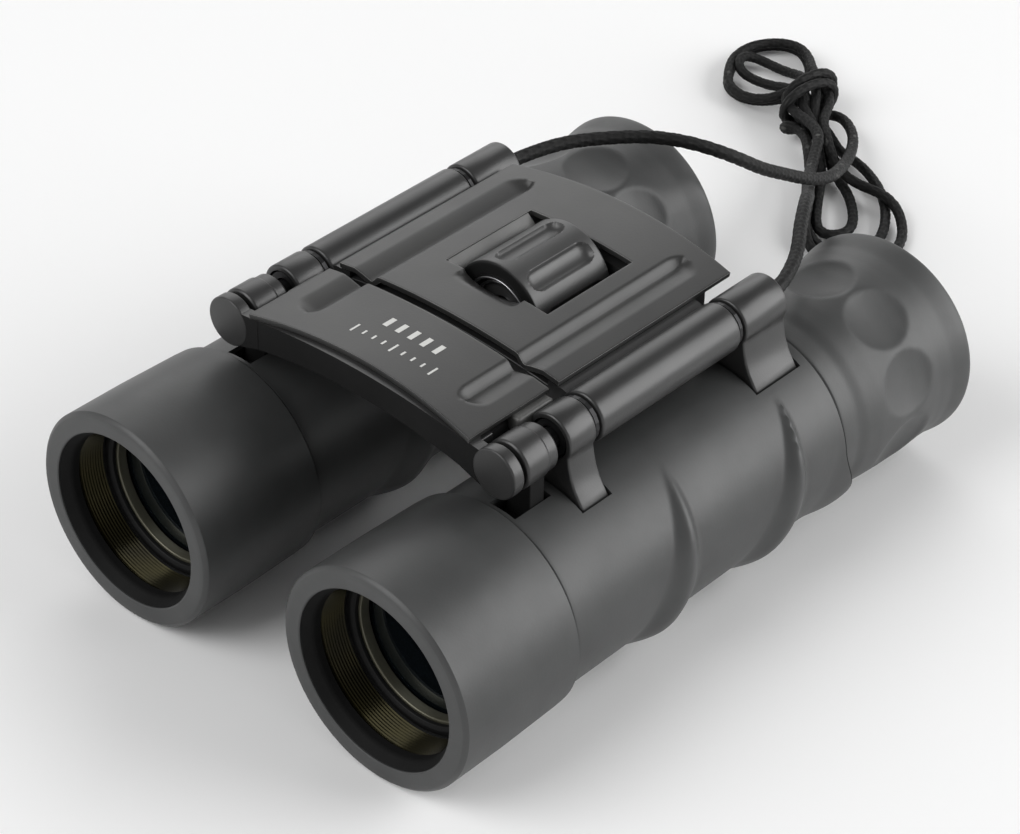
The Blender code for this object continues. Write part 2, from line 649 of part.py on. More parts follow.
def make_tube(side, sign):
    fold = make_group(side + "_fold_axis", sign * HINGE_X, HINGE_Z)
    attach(fold, make_housing(side, sign), make_armour(side, sign), make_shroud(side, sign),
           *make_prisms(side, sign))
    cell = make_group(side + "_cell_slide", sign * TUBE_X, TUBE_Z, fold)
    attach(cell, *make_objective(side, sign))
    eyepiece = make_group(side + "_eyepiece_axis", sign * TUBE_X, TUBE_Z, fold)
    attach(eyepiece, *make_eyepiece(side, sign))


# Wrist cord

def smooth_route(points, spacing):
    """Points along a Catmull-Rom curve through the route, about spacing apart."""
    route = [Vector(point) for point in points]
    route = [2 * route[0] - route[1], *route, 2 * route[-1] - route[-2]]
    result = []
    for a, b, c, d in zip(route, route[1:], route[2:], route[3:]):
        steps = max(1, round((c - b).length / spacing))
        for step in range(steps):
            t = step / steps
            result.append(0.5 * (2 * b + (c - a) * t + (2 * a - 5 * b + 4 * c - d) * t ** 2
                                 + (3 * b - a - 3 * c + d) * t ** 3))
    return result + [route[-2]]


def make_cord_run(name, route):
    curve = bpy.data.curves.new(name, "CURVE")
    curve.dimensions = "3D"
    curve.bevel_depth = CORD_R * MM
    curve.bevel_resolution = 2
    curve.use_fill_caps = True
    points = smooth_route(route, 6.0)
    spline = curve.splines.new("POLY")
    spline.points.add(len(points) - 1)
    for point, place in zip(spline.points, points):
        point.co = (place.x * MM, depth_to_y(place.y), place.z * MM, 1.0)
    return add_object(name, curve, "cord")


def make_hank():
    """The outer shape of the knotted loops, lying on the resting surface."""
    curve = bpy.data.curves.new("cord_hank", "CURVE")
    curve.dimensions = "2D"
    curve.fill_mode = "BOTH"
    curve.extrude = HANK_HEIGHT / 2 * MM
    spline = curve.splines.new("POLY")
    spline.points.add(len(HANK_OUTLINE) - 1)
    for point, (x, depth) in zip(spline.points, HANK_OUTLINE):
        point.co = (x * MM, depth_to_y(depth), 0.0, 1.0)
    spline.use_cyclic_u = True
    hank = add_object("cord_hank", curve, "cord")
    hank.location.z = HANK_HEIGHT / 2 * MM


def main():
    make_bridge()
    make_focus_drive()
    for side, sign in SIDES:
        make_hinge_hardware(side, sign)
        make_tube(side, sign)
    make_cord_run("left_cord_run", LEFT_CORD)
    make_cord_run("right_cord_run", RIGHT_CORD)
    make_hank()


main()
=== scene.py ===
"""Looks for the folding binoculars: fine meshes, materials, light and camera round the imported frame.

Lengths are in millimetres until a mesh is made. "depth" is the distance behind the objective
rims, along +Y. "lift" is an angle above the horizontal, in degrees.
"""
import json
import math

import bmesh
import bpy
import numpy as np
from mathutils import Matrix, Vector


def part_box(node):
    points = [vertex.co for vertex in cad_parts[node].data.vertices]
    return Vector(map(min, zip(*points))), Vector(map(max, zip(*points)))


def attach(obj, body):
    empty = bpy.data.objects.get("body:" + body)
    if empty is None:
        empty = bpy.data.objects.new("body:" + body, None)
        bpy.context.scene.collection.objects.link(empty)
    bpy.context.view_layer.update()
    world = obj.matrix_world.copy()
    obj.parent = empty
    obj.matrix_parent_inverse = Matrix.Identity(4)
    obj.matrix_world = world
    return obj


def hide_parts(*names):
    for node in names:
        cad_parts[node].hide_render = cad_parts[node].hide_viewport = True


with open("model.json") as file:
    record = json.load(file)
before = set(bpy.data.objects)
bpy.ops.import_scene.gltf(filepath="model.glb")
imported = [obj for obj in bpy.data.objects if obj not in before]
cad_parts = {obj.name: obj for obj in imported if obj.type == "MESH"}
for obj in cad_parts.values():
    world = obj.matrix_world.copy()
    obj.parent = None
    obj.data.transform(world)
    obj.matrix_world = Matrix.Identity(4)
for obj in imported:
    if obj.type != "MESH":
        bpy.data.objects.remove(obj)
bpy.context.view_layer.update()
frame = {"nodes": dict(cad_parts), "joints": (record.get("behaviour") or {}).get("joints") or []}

MM = 0.001
LENGTH = 115.0
SIDES = (("left", 1), ("right", -1))


def centre_of(node):
    low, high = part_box(node)
    return (low + high) / 2 / MM


def hinge_of(side):
    joint = next(j for j in frame["joints"] if j["name"] == side + "_fold")
    return joint["pos_m"]


TUBE_X = abs(centre_of("left_objective_shroud").x)
TUBE_Z = centre_of("left_objective_shroud").z
HINGE_X = abs(hinge_of("left")[0]) / MM
HINGE_Z = hinge_of("left")[2] / MM
WHEEL_Z = centre_of("focus_wheel").z

# Tubes; each wall's outline lists (radius, depth) points
SHROUD_R = 17.5
SHROUD_END = 23.6
OPENING_R = 13.2
THREAD_TIP = 13.42
THREAD_ROOT = 13.7
THREAD_PITCH = 0.5
THREADS = (3.3, 7.9)         # depth of the first thread, and where no more start
ARMOUR_R = 16.1
ARMOUR_BORE = 15.3
ARMOUR_START = 24.0
ARMOUR_END = 84.4            # upper part of the tube
ARMOUR_LOW_END = 88.0        # underside, where the armour laps over the eyecup
ARMOUR_STRETCH = 60.0        # depth behind which the underside is stretched to reach its end
LIP_BORE = 15.65
LIP_START = 83.6
LIP_RISE = 0.2
EDGE_STRIP = 0.45            # width of the painted shade strip at the rear edge of shroud and armour
END_FACE = 0.8               # a face that points back by more than this is not part of the strip
FLOOR_GAP = 0.02             # the armour stays this far above the floor
RIDGE_HEIGHT = 1.55
RIDGE_FLANK = 0.5            # share of a ridge's width that is its rising side
RIDGE_LOW = -36.0            # lift below which a ridge's front edge runs straight round the tube
RIDGE_FADE = (14.0, 62.0)    # lift at which a ridge starts and ends its run-out
EYECUP_START = 85.0
CUP_SKIRT = 14.6             # only the outside of the eyecup, beyond this radius, has dimples
DIMPLES = 9
DIMPLE_DEPTH = 100.2
DIMPLE_HALF = (5.6, 5.3)     # along the tube, and round it
DIMPLE_SINK = 1.3
FIRST_DIMPLE = 19.0          # lift of one dimple on the outboard side

# Bridge
PLATE_HALF = 21.6
PLATE_EDGE_Z = 44.4
PLATE_RISE = 1.8
PLATE_BOW = 1.5
SKIN = 0.8
CASTING_DROP = 2.15          # top of the castings, below the crown of the plates
CASTING_HALF = 20.9
FACE_HALF = 21.3             # half width of the carriage's tall front face
MAIN_PLATE = (41.3, 79.0)
FOCUS_PLATE = (22.9, 39.2)
CHANNEL_INNER = 13.5
CHANNEL_FLOOR = 15.1
CHANNEL_OUTER = 18.6
CHANNEL_SINK = 1.2
CHANNEL_END = 2.6            # length of the rounded ends of a channel
SCOOP_CENTRE = 0.3
SCOOP_HALF = 5.8
SCOOP_SINK = 1.9
WINDOW_X = (-9.3, 10.7)
WINDOW = (51.0, 69.2)
WALL_FOOT = 37.7

# Hinges and focus drive; pairs are the front and rear depth
KNUCKLE_R = 4.0
BUSH_BORE = 3.2
PIN_BORE = 1.9
BARREL = (41.0, 71.3)
FRONT_STRAP = (34.2, 39.7)
REAR_STRAP = (72.5, 82.0)
DISC = (22.9, 24.9)
RING = (25.7, 32.4)
WHEEL_R = 8.3
WHEEL = (52.3, 68.2)
WHEEL_POCKETS = 8
FIRST_POCKET = 53.0          # angle of one pocket above +X
POCKET_HALF = 1.75           # half width of a pocket round the wheel
POCKET_RUN = 6.6             # half length of a pocket along the wheel
POCKET_SINK = 1.1
HUB_RINGS = ((4.5, 4.9, 52.8), (5.5, 5.85, 52.05))     # bore, radius and front of each
BAR_ROWS = (                 # depth, pitch, half width, half lengths of the printed bars
    (29.4, 1.9, 0.16, (1.0, 0.5, 0.5, 0.5, 1.0, 0.5, 0.5, 0.5, 1.0)),
    (33.6, 2.4, 0.42, (1.1, 1.1, 1.1, 1.1, 1.1)),
)
PRINT_CENTRE = 1.0
PRINT_HEIGHT = 0.05

# Cord
CORD_R = 1.05
HANK_R = 0.88                # the cord is drawn thinner where it is knotted up
HANK_START = (85.0, 130.0)   # distance from either end over which it thins
CORD_SIDES = 24              # points round the cord
CORD_STEP = 0.3              # spacing of the rings of points
ROUTE_STEP = 1.5
STRANDS = 8
BRAID_LAY = 5.2
BRAID_RELIEF = 0.24
WRAP_STEPS = 25              # points along the turns that close the knot
WRAP_WIDTH = 4.9
WRAP_HEIGHT = 3.7
SETTLE_ROUNDS = 90
STRAND_GAP = 0.04            # clearance kept between strands
NEIGHBOURS = 5               # points this close along the cord don't push each other
HELD_ENDS = 8                # points at either end that stay where they are
MAX_PUSH = 0.4
RELAX = 0.04
STIFFEN = 0.12
RETURN = 0.07


# Materials

GRAIN_DEPTH = 0.00012        # metres


def new_material(name):
    material = bpy.data.materials.new(name)
    material.use_nodes = True
    return material, material.node_tree.nodes, material.node_tree.links


def noise(nodes, links, place, scale, detail, roughness=0.55):
    node = nodes.new("ShaderNodeTexNoise")
    node.inputs["Scale"].default_value = scale
    node.inputs["Detail"].default_value = detail
    node.inputs["Roughness"].default_value = roughness
    links.new(place, node.inputs["Vector"])
    return node.outputs["Fac"]


def remap(nodes, links, value, source, target):
    node = nodes.new("ShaderNodeMapRange")
    node.inputs["From Min"].default_value, node.inputs["From Max"].default_value = source
    node.inputs["To Min"].default_value, node.inputs["To Max"].default_value = target
    links.new(value, node.inputs["Value"])
    return node.outputs["Result"]


def ramp(nodes, links, value, stops):
    node = nodes.new("ShaderNodeValToRGB")
    band = node.color_ramp
    band.elements[0].position, band.elements[0].color = stops[0][0], (*stops[0][1], 1.0)
    band.elements[1].position, band.elements[1].color = stops[-1][0], (*stops[-1][1], 1.0)
    for position, colour in stops[1:-1]:
        band.elements.new(position).color = (*colour, 1.0)
    links.new(value, node.inputs["Fac"])
    return node.outputs["Color"]


def grey(value):
    return (value, value, value)


def finish(name, dark, light, rough, grain, metallic=0.0, specular=0.5, bump=0.1, painted_highlight=None):
    """Surface with cloudy colour, uneven gloss, fine grain and, if asked, a paler painted highlight on
    its high spots.
    """
    material, nodes, links = new_material(name)
    shader = nodes["Principled BSDF"]
    place = nodes.new("ShaderNodeTexCoord").outputs["Object"]
    clouds = noise(nodes, links, place, 90.0, 5.0)
    colour = ramp(nodes, links, clouds, [(0.32, dark), (0.68, light)])
    if painted_highlight:
        # Convex spots take the painted highlight colour, broken up in patches.
        edge = nodes.new("ShaderNodeNewGeometry").outputs["Pointiness"]
        highlight_mask = remap(nodes, links, edge, (0.53, 0.60), (0.0, 1.0))
        spots = noise(nodes, links, place, 260.0, 4.0)
        patches = remap(nodes, links, spots, (0.35, 0.6), (0.25, 1.0))
        both = nodes.new("ShaderNodeMath")
        both.operation = "MULTIPLY"
        links.new(highlight_mask, both.inputs[0])
        links.new(patches, both.inputs[1])
        blend = nodes.new("ShaderNodeMix")
        blend.data_type = "RGBA"
        blend.inputs[7].default_value = (*painted_highlight, 1.0)
        links.new(both.outputs[0], blend.inputs[0])
        links.new(colour, blend.inputs[6])
        colour = blend.outputs[2]
    links.new(colour, shader.inputs["Base Color"])
    smudges = noise(nodes, links, place, 55.0, 6.0, 0.65)
    links.new(remap(nodes, links, smudges, (0.3, 0.7), rough), shader.inputs["Roughness"])
    shader.inputs["Metallic"].default_value = metallic
    shader.inputs["Specular IOR Level"].default_value = specular
    fine = noise(nodes, links, place, grain, 3.0)
    relief = nodes.new("ShaderNodeBump")
    relief.inputs["Strength"].default_value = bump
    relief.inputs["Distance"].default_value = GRAIN_DEPTH
    links.new(fine, relief.inputs["Height"])
    links.new(relief.outputs["Normal"], shader.inputs["Normal"])
    return material


def coated_glass(name, tint, depth_colour):
    """Dark coated lens glass: a clear gloss over a deep colour that shifts at grazing angles."""
    material, nodes, links = new_material(name)
    shader = nodes["Principled BSDF"]
    place = nodes.new("ShaderNodeTexCoord").outputs["Object"]
    blend = nodes.new("ShaderNodeLayerWeight")
    blend.inputs["Blend"].default_value = 0.35
    clouds = noise(nodes, links, place, 60.0, 2.0)
    shifted = nodes.new("ShaderNodeMath")
    shifted.operation = "MULTIPLY_ADD"
    shifted.inputs[1].default_value = 0.18
    links.new(clouds, shifted.inputs[0])
    links.new(blend.outputs["Facing"], shifted.inputs[2])
    colour = ramp(nodes, links, shifted.outputs[0], [(0.15, depth_colour), (0.85, tint)])
    links.new(colour, shader.inputs["Base Color"])
    shader.inputs["Roughness"].default_value = 0.04
    shader.inputs["Specular IOR Level"].default_value = 0.6
    shader.inputs["Coat Weight"].default_value = 0.6
    shader.inputs["Coat Roughness"].default_value = 0.02
    shader.inputs["Coat Tint"].default_value = (0.80, 0.92, 1.0, 1.0)
    return material


RUBBER = finish("grip_rubber", (0.034, 0.035, 0.035), (0.046, 0.047, 0.047), (0.40, 0.50), 2600.0,
                specular=0.5, bump=0.10)
# Near-black painted shade: rear edges of shroud and armour, the cone inside the rim, the focus arm and
# the carriage's front face.
PAINTED_SHADE_RUBBER = finish("painted_shade_rubber", grey(0.003), grey(0.005), (0.60, 0.75), 2600.0,
                      specular=0.2, bump=0.06)
CUP_RUBBER = finish("cup_rubber", (0.040, 0.041, 0.041), (0.054, 0.055, 0.055), (0.42, 0.52), 2600.0,
                    specular=0.5, bump=0.12)
CASTING = finish("black_casting", grey(0.014), grey(0.022), (0.30, 0.38), 3400.0,
                 specular=0.6, bump=0.10)
SKIN_METAL = finish("bridge_skin", grey(0.021), (0.027, 0.027, 0.026), (0.34, 0.42), 3000.0,
                    specular=0.5, bump=0.10)
EDGE_METAL = finish("pale_edge", (0.22, 0.22, 0.216), (0.38, 0.38, 0.372), (0.30, 0.40), 3000.0,
                    metallic=0.3, bump=0.05)
WHEEL_FINISH = finish("wheel_finish", grey(0.026), grey(0.038), (0.36, 0.46), 3000.0,
                      specular=0.7, bump=0.12)
# Black inner parts; on the wheel's front face it is painted shade.
INNER_BLACK_AND_SHADE = finish("inner_black", grey(0.004), grey(0.007), (0.45, 0.6), 2500.0,
                     specular=0.25, bump=0.05)
NOSE_BLACK = finish("nose_black", grey(0.004), grey(0.006), (0.45, 0.55), 2500.0,
                    specular=0.2, bump=0.04)
THREAD = finish("thread_olive", (0.007, 0.006, 0.002), (0.020, 0.017, 0.004), (0.16, 0.24), 2200.0,
                metallic=0.8, specular=0.4, bump=0.05)
ALLOY = finish("retaining_alloy", (0.10, 0.096, 0.070), (0.14, 0.134, 0.10), (0.32, 0.42), 2600.0,
               metallic=0.6, specular=0.5, bump=0.05)
STEEL = finish("steel", (0.42, 0.42, 0.43), (0.55, 0.55, 0.56), (0.22, 0.34), 2600.0,
               metallic=1.0, bump=0.05)
BRASS = finish("brass", (0.44, 0.32, 0.13), (0.58, 0.44, 0.20), (0.25, 0.38), 2600.0,
               metallic=1.0, bump=0.05)
GREY_CAST = finish("grey_casting", (0.060, 0.060, 0.058), (0.10, 0.10, 0.097), (0.36, 0.48), 2800.0,
                   specular=0.6, bump=0.15)
BLACKED_STEEL = finish("blackened_steel", (0.012, 0.012, 0.013), (0.022, 0.022, 0.023), (0.34, 0.46),
                       2600.0, metallic=0.6, bump=0.05)
PRINT = finish("pale_print", (0.50, 0.50, 0.48), (0.62, 0.62, 0.60), (0.45, 0.6), 2000.0, bump=0.05)
# The cord's raised strands get a paler painted highlight.
CORD = finish("cord_fibre", grey(0.003), grey(0.007), (0.50, 0.70), 5200.0,
              specular=0.25, bump=0.5, painted_highlight=(0.075, 0.075, 0.072))
GLASS = coated_glass("coated_glass", (0.006, 0.008, 0.009), (0.0015, 0.0015, 0.002))
PRISM = coated_glass("prism_glass", (0.060, 0.070, 0.075), (0.012, 0.014, 0.016))


# Mesh helpers

def fillet(points, radius, segments=4):
    """Round every corner of a closed outline with a short curve."""
    result = []
    count = len(points)
    for i, point in enumerate(points):
        before, after = Vector(points[i - 1]), Vector(points[(i + 1) % count])
        here = Vector(point)
        to_before, to_after = before - here, after - here
        reach = min(radius, to_before.length * 0.45, to_after.length * 0.45)
        start = here + to_before.normalized() * reach
        end = here + to_after.normalized() * reach
        if to_before.angle(-to_after) < 0.05:
            result.append(tuple(here))
            continue
        for step in range(segments + 1):
            t = step / segments
            result.append(tuple(start * (1 - t) ** 2 + here * (2 * t * (1 - t)) + end * t ** 2))
    return result


def dense(points, spacing):
    """Add points along the edges of a closed outline that are longer than spacing."""
    result = []
    for here, after in zip(points, points[1:] + points[:1]):
        steps = max(1, math.ceil(math.dist(here, after) / spacing))
        for step in range(steps):
            t = step / steps
            result.append((here[0] + (after[0] - here[0]) * t, here[1] + (after[1] - here[1]) * t))
    return result


def add_mesh(name, points, faces, material, sharp=35.0):
    """Add (x, depth, z) points in millimetres as one smooth mesh in metres."""
    mesh = bpy.data.meshes.new(name)
    scaled = np.asarray(points, float) * MM
    scaled[:, 1] -= LENGTH / 2 * MM
    mesh.from_pydata(scaled.tolist(), [], faces)
    build = bmesh.new()
    build.from_mesh(mesh)
    bmesh.ops.remove_doubles(build, verts=build.verts, dist=0.000002)
    bmesh.ops.dissolve_degenerate(build, edges=build.edges, dist=0.000001)
    bmesh.ops.recalc_face_normals(build, faces=build.faces)
    build.to_mesh(mesh)
    build.free()
    item = bpy.data.objects.new(name, mesh)
    bpy.context.scene.collection.objects.link(item)
    if material:
        mesh.materials.append(material)
    smooth(item, sharp)
    return item


def smooth(item, sharp=35.0):
    item.data.shade_smooth()
    item.data.set_sharp_from_angle(angle=math.radians(sharp))


def grid_faces(rows, columns, wrap_rows=False, wrap_columns=False, skip=None):
    """Faces between neighbouring rows of points, closed on themselves where wrapped."""
    faces = []
    for i in range(rows if wrap_rows else rows - 1):
        for j in range(columns if wrap_columns else columns - 1):
            if skip and skip(i, j):
                continue
            k, m = (i + 1) % rows, (j + 1) % columns
            faces.append((i * columns + j, i * columns + m, k * columns + m, k * columns + j))
    return faces


def turned(name, profile, x, z, material, steps=96, warp=None, sharp=35.0):
    """Turn a closed (radius, depth) outline about a line along Y. warp moves each point."""
    points = []
    for step in range(steps):
        angle = 2 * math.pi * step / steps
        for radius, depth in profile:
            if warp:
                radius, depth = warp(radius, depth, angle)
            points.append((x + radius * math.cos(angle), depth, z + radius * math.sin(angle)))
    return add_mesh(name, points, grid_faces(steps, len(profile), True, True), material, sharp)


def bar_outline(radius, start, end, rounding):
    """Outline of a plain round bar with rounded rims, for turned()."""
    corners = fillet([(0.01, start), (radius, start), (radius, end), (0.01, end)], rounding, 5)
    return [(0.01, start), *(point for point in corners if point[0] > radius / 2), (0.01, end)]


def extrude(name, ring, far_ring, material, bevel):
    """Close the space between two outlines that have the same number of points."""
    count = len(ring)
    faces = [tuple(range(count)), tuple(range(2 * count - 1, count - 1, -1))]
    faces += [(i, (i + 1) % count, count + (i + 1) % count, count + i) for i in range(count)]
    item = add_mesh(name, ring + far_ring, faces, material)
    if bevel:
        round_edges(item, bevel)
    return item


def prism(name, outline, start, end, material=None, bevel=0.0):
    """Extrude a closed (x, z) outline from start to end depth, with rounded edges."""
    ring, far_ring = ([(x, depth, z) for x, z in outline] for depth in (start, end))
    return extrude(name, ring, far_ring, material, bevel)


def post(name, radius, x, depth, low, high):
    """Upright round post, used as a cutter."""
    outline = circle(x, depth, radius, 24)
    ring, far_ring = ([(a, b, z) for a, b in outline] for z in (low, high))
    return extrude(name, ring, far_ring, None, 0.0)


def round_edges(item, width, segments=3, angle=35.0):
    bevel = item.modifiers.new("Round", "BEVEL")
    bevel.width = width * MM
    bevel.segments = segments
    bevel.limit_method = "ANGLE"
    bevel.angle_limit = math.radians(angle)
    bevel.use_clamp_overlap = True


def apply_modifiers(item, sharp=35.0):
    graph = bpy.context.evaluated_depsgraph_get()
    mesh = bpy.data.meshes.new_from_object(item.evaluated_get(graph), depsgraph=graph)
    old = item.data
    item.modifiers.clear()
    item.data = mesh
    bpy.data.meshes.remove(old)
    smooth(item, sharp)


def boolean(item, operation, *others):
    for other in others:
        step = item.modifiers.new("Cut", "BOOLEAN")
        step.operation = operation
        step.solver = "EXACT"
        step.object = other
    apply_modifiers(item)
    for other in others:
        bpy.data.objects.remove(other, do_unlink=True)


def shade(item, material, chosen):
    """Give the chosen polygons of a piece a second material."""
    item.data.materials.append(material)
    for polygon in item.data.polygons:
        if chosen(polygon):
            polygon.material_index = 1


def seat(item, body, slot, *nodes):
    """Put a piece on its body and let it stand for CAD nodes; slot is not used."""
    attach(item, body)
    if nodes:
        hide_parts(*nodes)
    return item


def box_outline(x0, x1, z0, z1):
    """Closed rectangle, with its x ends given in either order."""
    x0, x1 = sorted((x0, x1))
    return [(x0, z0), (x1, z0), (x1, z1), (x0, z1)]


def circle(x, z, radius, count=32):
    return [(x + radius * math.cos(2 * math.pi * i / count),
             z + radius * math.sin(2 * math.pi * i / count)) for i in range(count)]


def mirrored(outline, sign):
    return [(sign * x, z) for x, z in outline]


def mix(a, b, t):
    return a + (b - a) * t


def ease(value, low, high):
    t = min(1.0, max(0.0, (value - low) / (high - low)))
    return t * t * (3 - 2 * t)


# Tubes

def make_shroud(side, sign):
    x = sign * TUBE_X
    body = side + "_tube"
    corners = [(14.25, 0.12), (14.45, 0.0), (16.8, 0.0), (16.95, 0.05), (17.42, 0.5), (SHROUD_R, 0.65),
               (SHROUD_R, 11.0), (17.25, 21.6), (17.15, SHROUD_END - 0.4), (16.9, SHROUD_END - 0.1),
               (16.7, SHROUD_END), (14.2, SHROUD_END), (14.2, 3.0), (14.25, 0.6)]
    shroud = turned(side + "_shroud", dense(corners, 1.1), x, TUBE_Z, RUBBER, 128, sharp=28.0)
    # The shroud's rear edge is a strip of painted shade where it meets the armour.
    edge = (SHROUD_END - EDGE_STRIP - LENGTH / 2) * MM
    shade(shroud, PAINTED_SHADE_RUBBER, lambda face: face.center.y > edge and face.normal.y < END_FACE)
    seat(shroud, body, "rubber_armour", side + "_objective_shroud")
    # The cone inside the rim is painted shade, dark like the shadow in the opening.
    corners = [(14.22, 0.3), (OPENING_R + 0.1, 1.9), (OPENING_R, 3.2), (13.9, 3.2), (14.18, 1.5)]
    cone = turned(side + "_rim_cone", dense(corners, 0.5), x, TUBE_Z, PAINTED_SHADE_RUBBER)
    seat(cone, body, "rubber_armour")
    depth, last = THREADS
    profile = [(14.1, depth)]
    while depth < last:
        profile += [(THREAD_ROOT, depth), (THREAD_TIP, depth + THREAD_PITCH / 2)]
        depth += THREAD_PITCH
    profile += [(THREAD_ROOT, 8.2), (14.1, 8.2)]
    thread = turned(side + "_objective_thread", profile, x, TUBE_Z, THREAD, 200, sharp=20.0)
    seat(thread, body, "inner_black")


def ridge(lift, depth, front, rear):
    """Height of one finger ridge: a plateau with steep sides that thins out upwards."""
    run_out = 1.0 - ease(lift, *RIDGE_FADE)
    if run_out <= 0.0 or not front < depth < rear:
        return 0.0
    place = (depth - front) / (rear - front)
    rise = min(1.0, place / RIDGE_FLANK, (1 - place) / RIDGE_FLANK)
    return RIDGE_HEIGHT * run_out * rise * rise * (3 - 2 * rise)


def ridge_height(lift, depth):
    """Height of the three finger ridges, whose front edges lean back as they climb."""
    climb = max(lift, RIDGE_LOW) - RIDGE_LOW
    low = ease(-lift, 20.0, 45.0)
    first = ridge(lift, depth, 38.6 + 0.115 * climb, 50.8 + 2.4 * low)
    second = ridge(lift, depth, 62.4 + 0.135 * climb, 75.2 + 1.6 * low)
    third = 0.5 * ridge(lift, depth, 78.2 + 0.09 * climb, 94.0)
    return max(first, second, third)


def underside(lift):
    """0 on the upper part of a tube, 1 on its underside."""
    return ease(-lift, -6.0, 34.0)


def armour_end(lift):
    return mix(ARMOUR_END, ARMOUR_LOW_END, underside(lift))


def make_armour(side, sign):
    x = sign * TUBE_X

    def warp(radius, depth, angle):
        lift = math.degrees(math.atan2(math.sin(angle), abs(math.cos(angle))))
        if depth > ARMOUR_STRETCH:
            stretch = (armour_end(lift) - ARMOUR_STRETCH) / (ARMOUR_END - ARMOUR_STRETCH)
            depth = ARMOUR_STRETCH + (depth - ARMOUR_STRETCH) * stretch
        if radius < ARMOUR_BORE + 0.1:
            return (LIP_BORE if depth > LIP_START else radius), depth
        lip = LIP_RISE * ease(depth, ARMOUR_END - 4.0, ARMOUR_END + 3.0) * underside(lift)
        reach_down = (TUBE_Z - FLOOR_GAP) / max(0.01, -math.sin(angle))
        return min(radius + ridge_height(lift, depth) + lip, reach_down), depth

    def on_edge(face):
        across, depth, z = face.center / MM
        lift = math.degrees(math.atan2(z - TUBE_Z, abs(across - x)))
        return depth + LENGTH / 2 > armour_end(lift) - EDGE_STRIP and face.normal.y < END_FACE

    corners = [(ARMOUR_BORE, ARMOUR_START), (ARMOUR_R, ARMOUR_START), (ARMOUR_R, ARMOUR_END),
               (ARMOUR_BORE, ARMOUR_END)]
    profile = dense(fillet(corners, 0.35, 3), 0.5)
    armour = turned(side + "_armour", profile, x, TUBE_Z, RUBBER, 240, warp)
    # The armour's rear edge is a strip of painted shade where it meets the eyecup.
    shade(armour, PAINTED_SHADE_RUBBER, on_edge)
    hinge = sign * HINGE_X
    cutters = []
    for start, end in (FRONT_STRAP, REAR_STRAP):
        outline = box_outline(hinge - sign * 5.6, hinge + sign * 6.9, 28.0, 40.0)
        cutters.append(prism("relief", outline, start - 0.35, end + 0.35))
    cutters.append(prism("relief", box_outline(hinge - 2.4, hinge + 2.4, 26.0, 40.0), 24.8, 32.2))
    boolean(armour, "DIFFERENCE", *cutters)
    seat(armour, side + "_tube", "rubber_armour", side + "_grip_armour")


def make_eyecup(side, sign):
    def warp(radius, depth, angle):
        if radius < CUP_SKIRT:
            return radius, depth
        lift = math.degrees(angle if sign > 0 else math.pi - angle)
        pitch = 360.0 / DIMPLES
        off = (lift - FIRST_DIMPLE + pitch / 2) % pitch - pitch / 2
        reach = math.hypot((depth - DIMPLE_DEPTH) / DIMPLE_HALF[0],
                           math.radians(off) * radius / DIMPLE_HALF[1])
        if reach < 1.0:
            radius -= DIMPLE_SINK * (1 - reach ** 2) ** 0.85
        return radius, depth

    outer = [(15.2, EYECUP_START), (15.25, 88.6), (15.75, 90.4), (16.15, 93.5), (16.4, 97.5),
             (16.6, 103.0), (16.45, 107.5), (16.55, 110.5), (17.0, 113.0), (17.1, 114.2)]
    inner = [(16.6, LENGTH), (15.1, LENGTH), (14.1, 113.4), (12.6, 110.6), (11.4, 109.2),
             (9.0, 108.4), (9.0, 104.2), (13.9, 104.2), (13.9, EYECUP_START)]
    profile = dense(fillet(outer + inner, 0.5, 3), 0.55)
    body = "left_tube" if side == "left" else "right_eyepiece"
    cup = turned(side + "_cup", profile, sign * TUBE_X, TUBE_Z, CUP_RUBBER, 216, warp)
    seat(cup, body, "eyecup_rubber", side + "_eyecup")


def strap_outline(sign):
    """Knuckle round the hinge line, with a neck that sweeps out into a foot on the tube."""
    arc = [(KNUCKLE_R * math.cos(math.radians(a)), KNUCKLE_R * math.sin(math.radians(a)))
           for a in range(-28, 209, 8)]
    inboard = [(-3.95, -3.0), (-4.1, -4.6), (-4.7, -6.4), (-5.3, -7.8), (-5.3, -11.5)]
    outboard = [(6.6, -12.5), (6.6, -9.35), (5.9, -8.3), (5.0, -6.9), (4.3, -5.3), (3.9, -3.8),
                (3.66, -2.7)]
    return [(sign * (HINGE_X + x), HINGE_Z + z) for x, z in arc + inboard + outboard]


def make_housing(side, sign):
    tube_x, hinge = sign * TUBE_X, sign * HINGE_X
    profile = [(13.75, ARMOUR_START), (15.0, ARMOUR_START), (15.0, 84.6), (13.75, 84.6)]
    housing = turned(side + "_housing", profile, tube_x, TUBE_Z, CASTING, 64)
    straps = []
    for start, end in (FRONT_STRAP, REAR_STRAP):
        strap = prism("strap", strap_outline(sign), start, end, CASTING, 0.35)
        apply_modifiers(strap)
        straps.append(strap)
    boolean(housing, "UNION", *straps)
    boolean(housing, "DIFFERENCE",
            prism("bore", circle(hinge, HINGE_Z, BUSH_BORE), 33.0, 41.0),
            prism("bore", circle(hinge, HINGE_Z, PIN_BORE), 71.0, 80.8),
            prism("bore", circle(tube_x, TUBE_Z, 13.74, 60), 20.0, 90.0),
            prism("slot", box_outline(hinge - 2.7, hinge + 2.7, 26.0, 34.0), 24.5, 32.5))
    seat(housing, side + "_tube", "tube_casting", side + "_tube_housing")


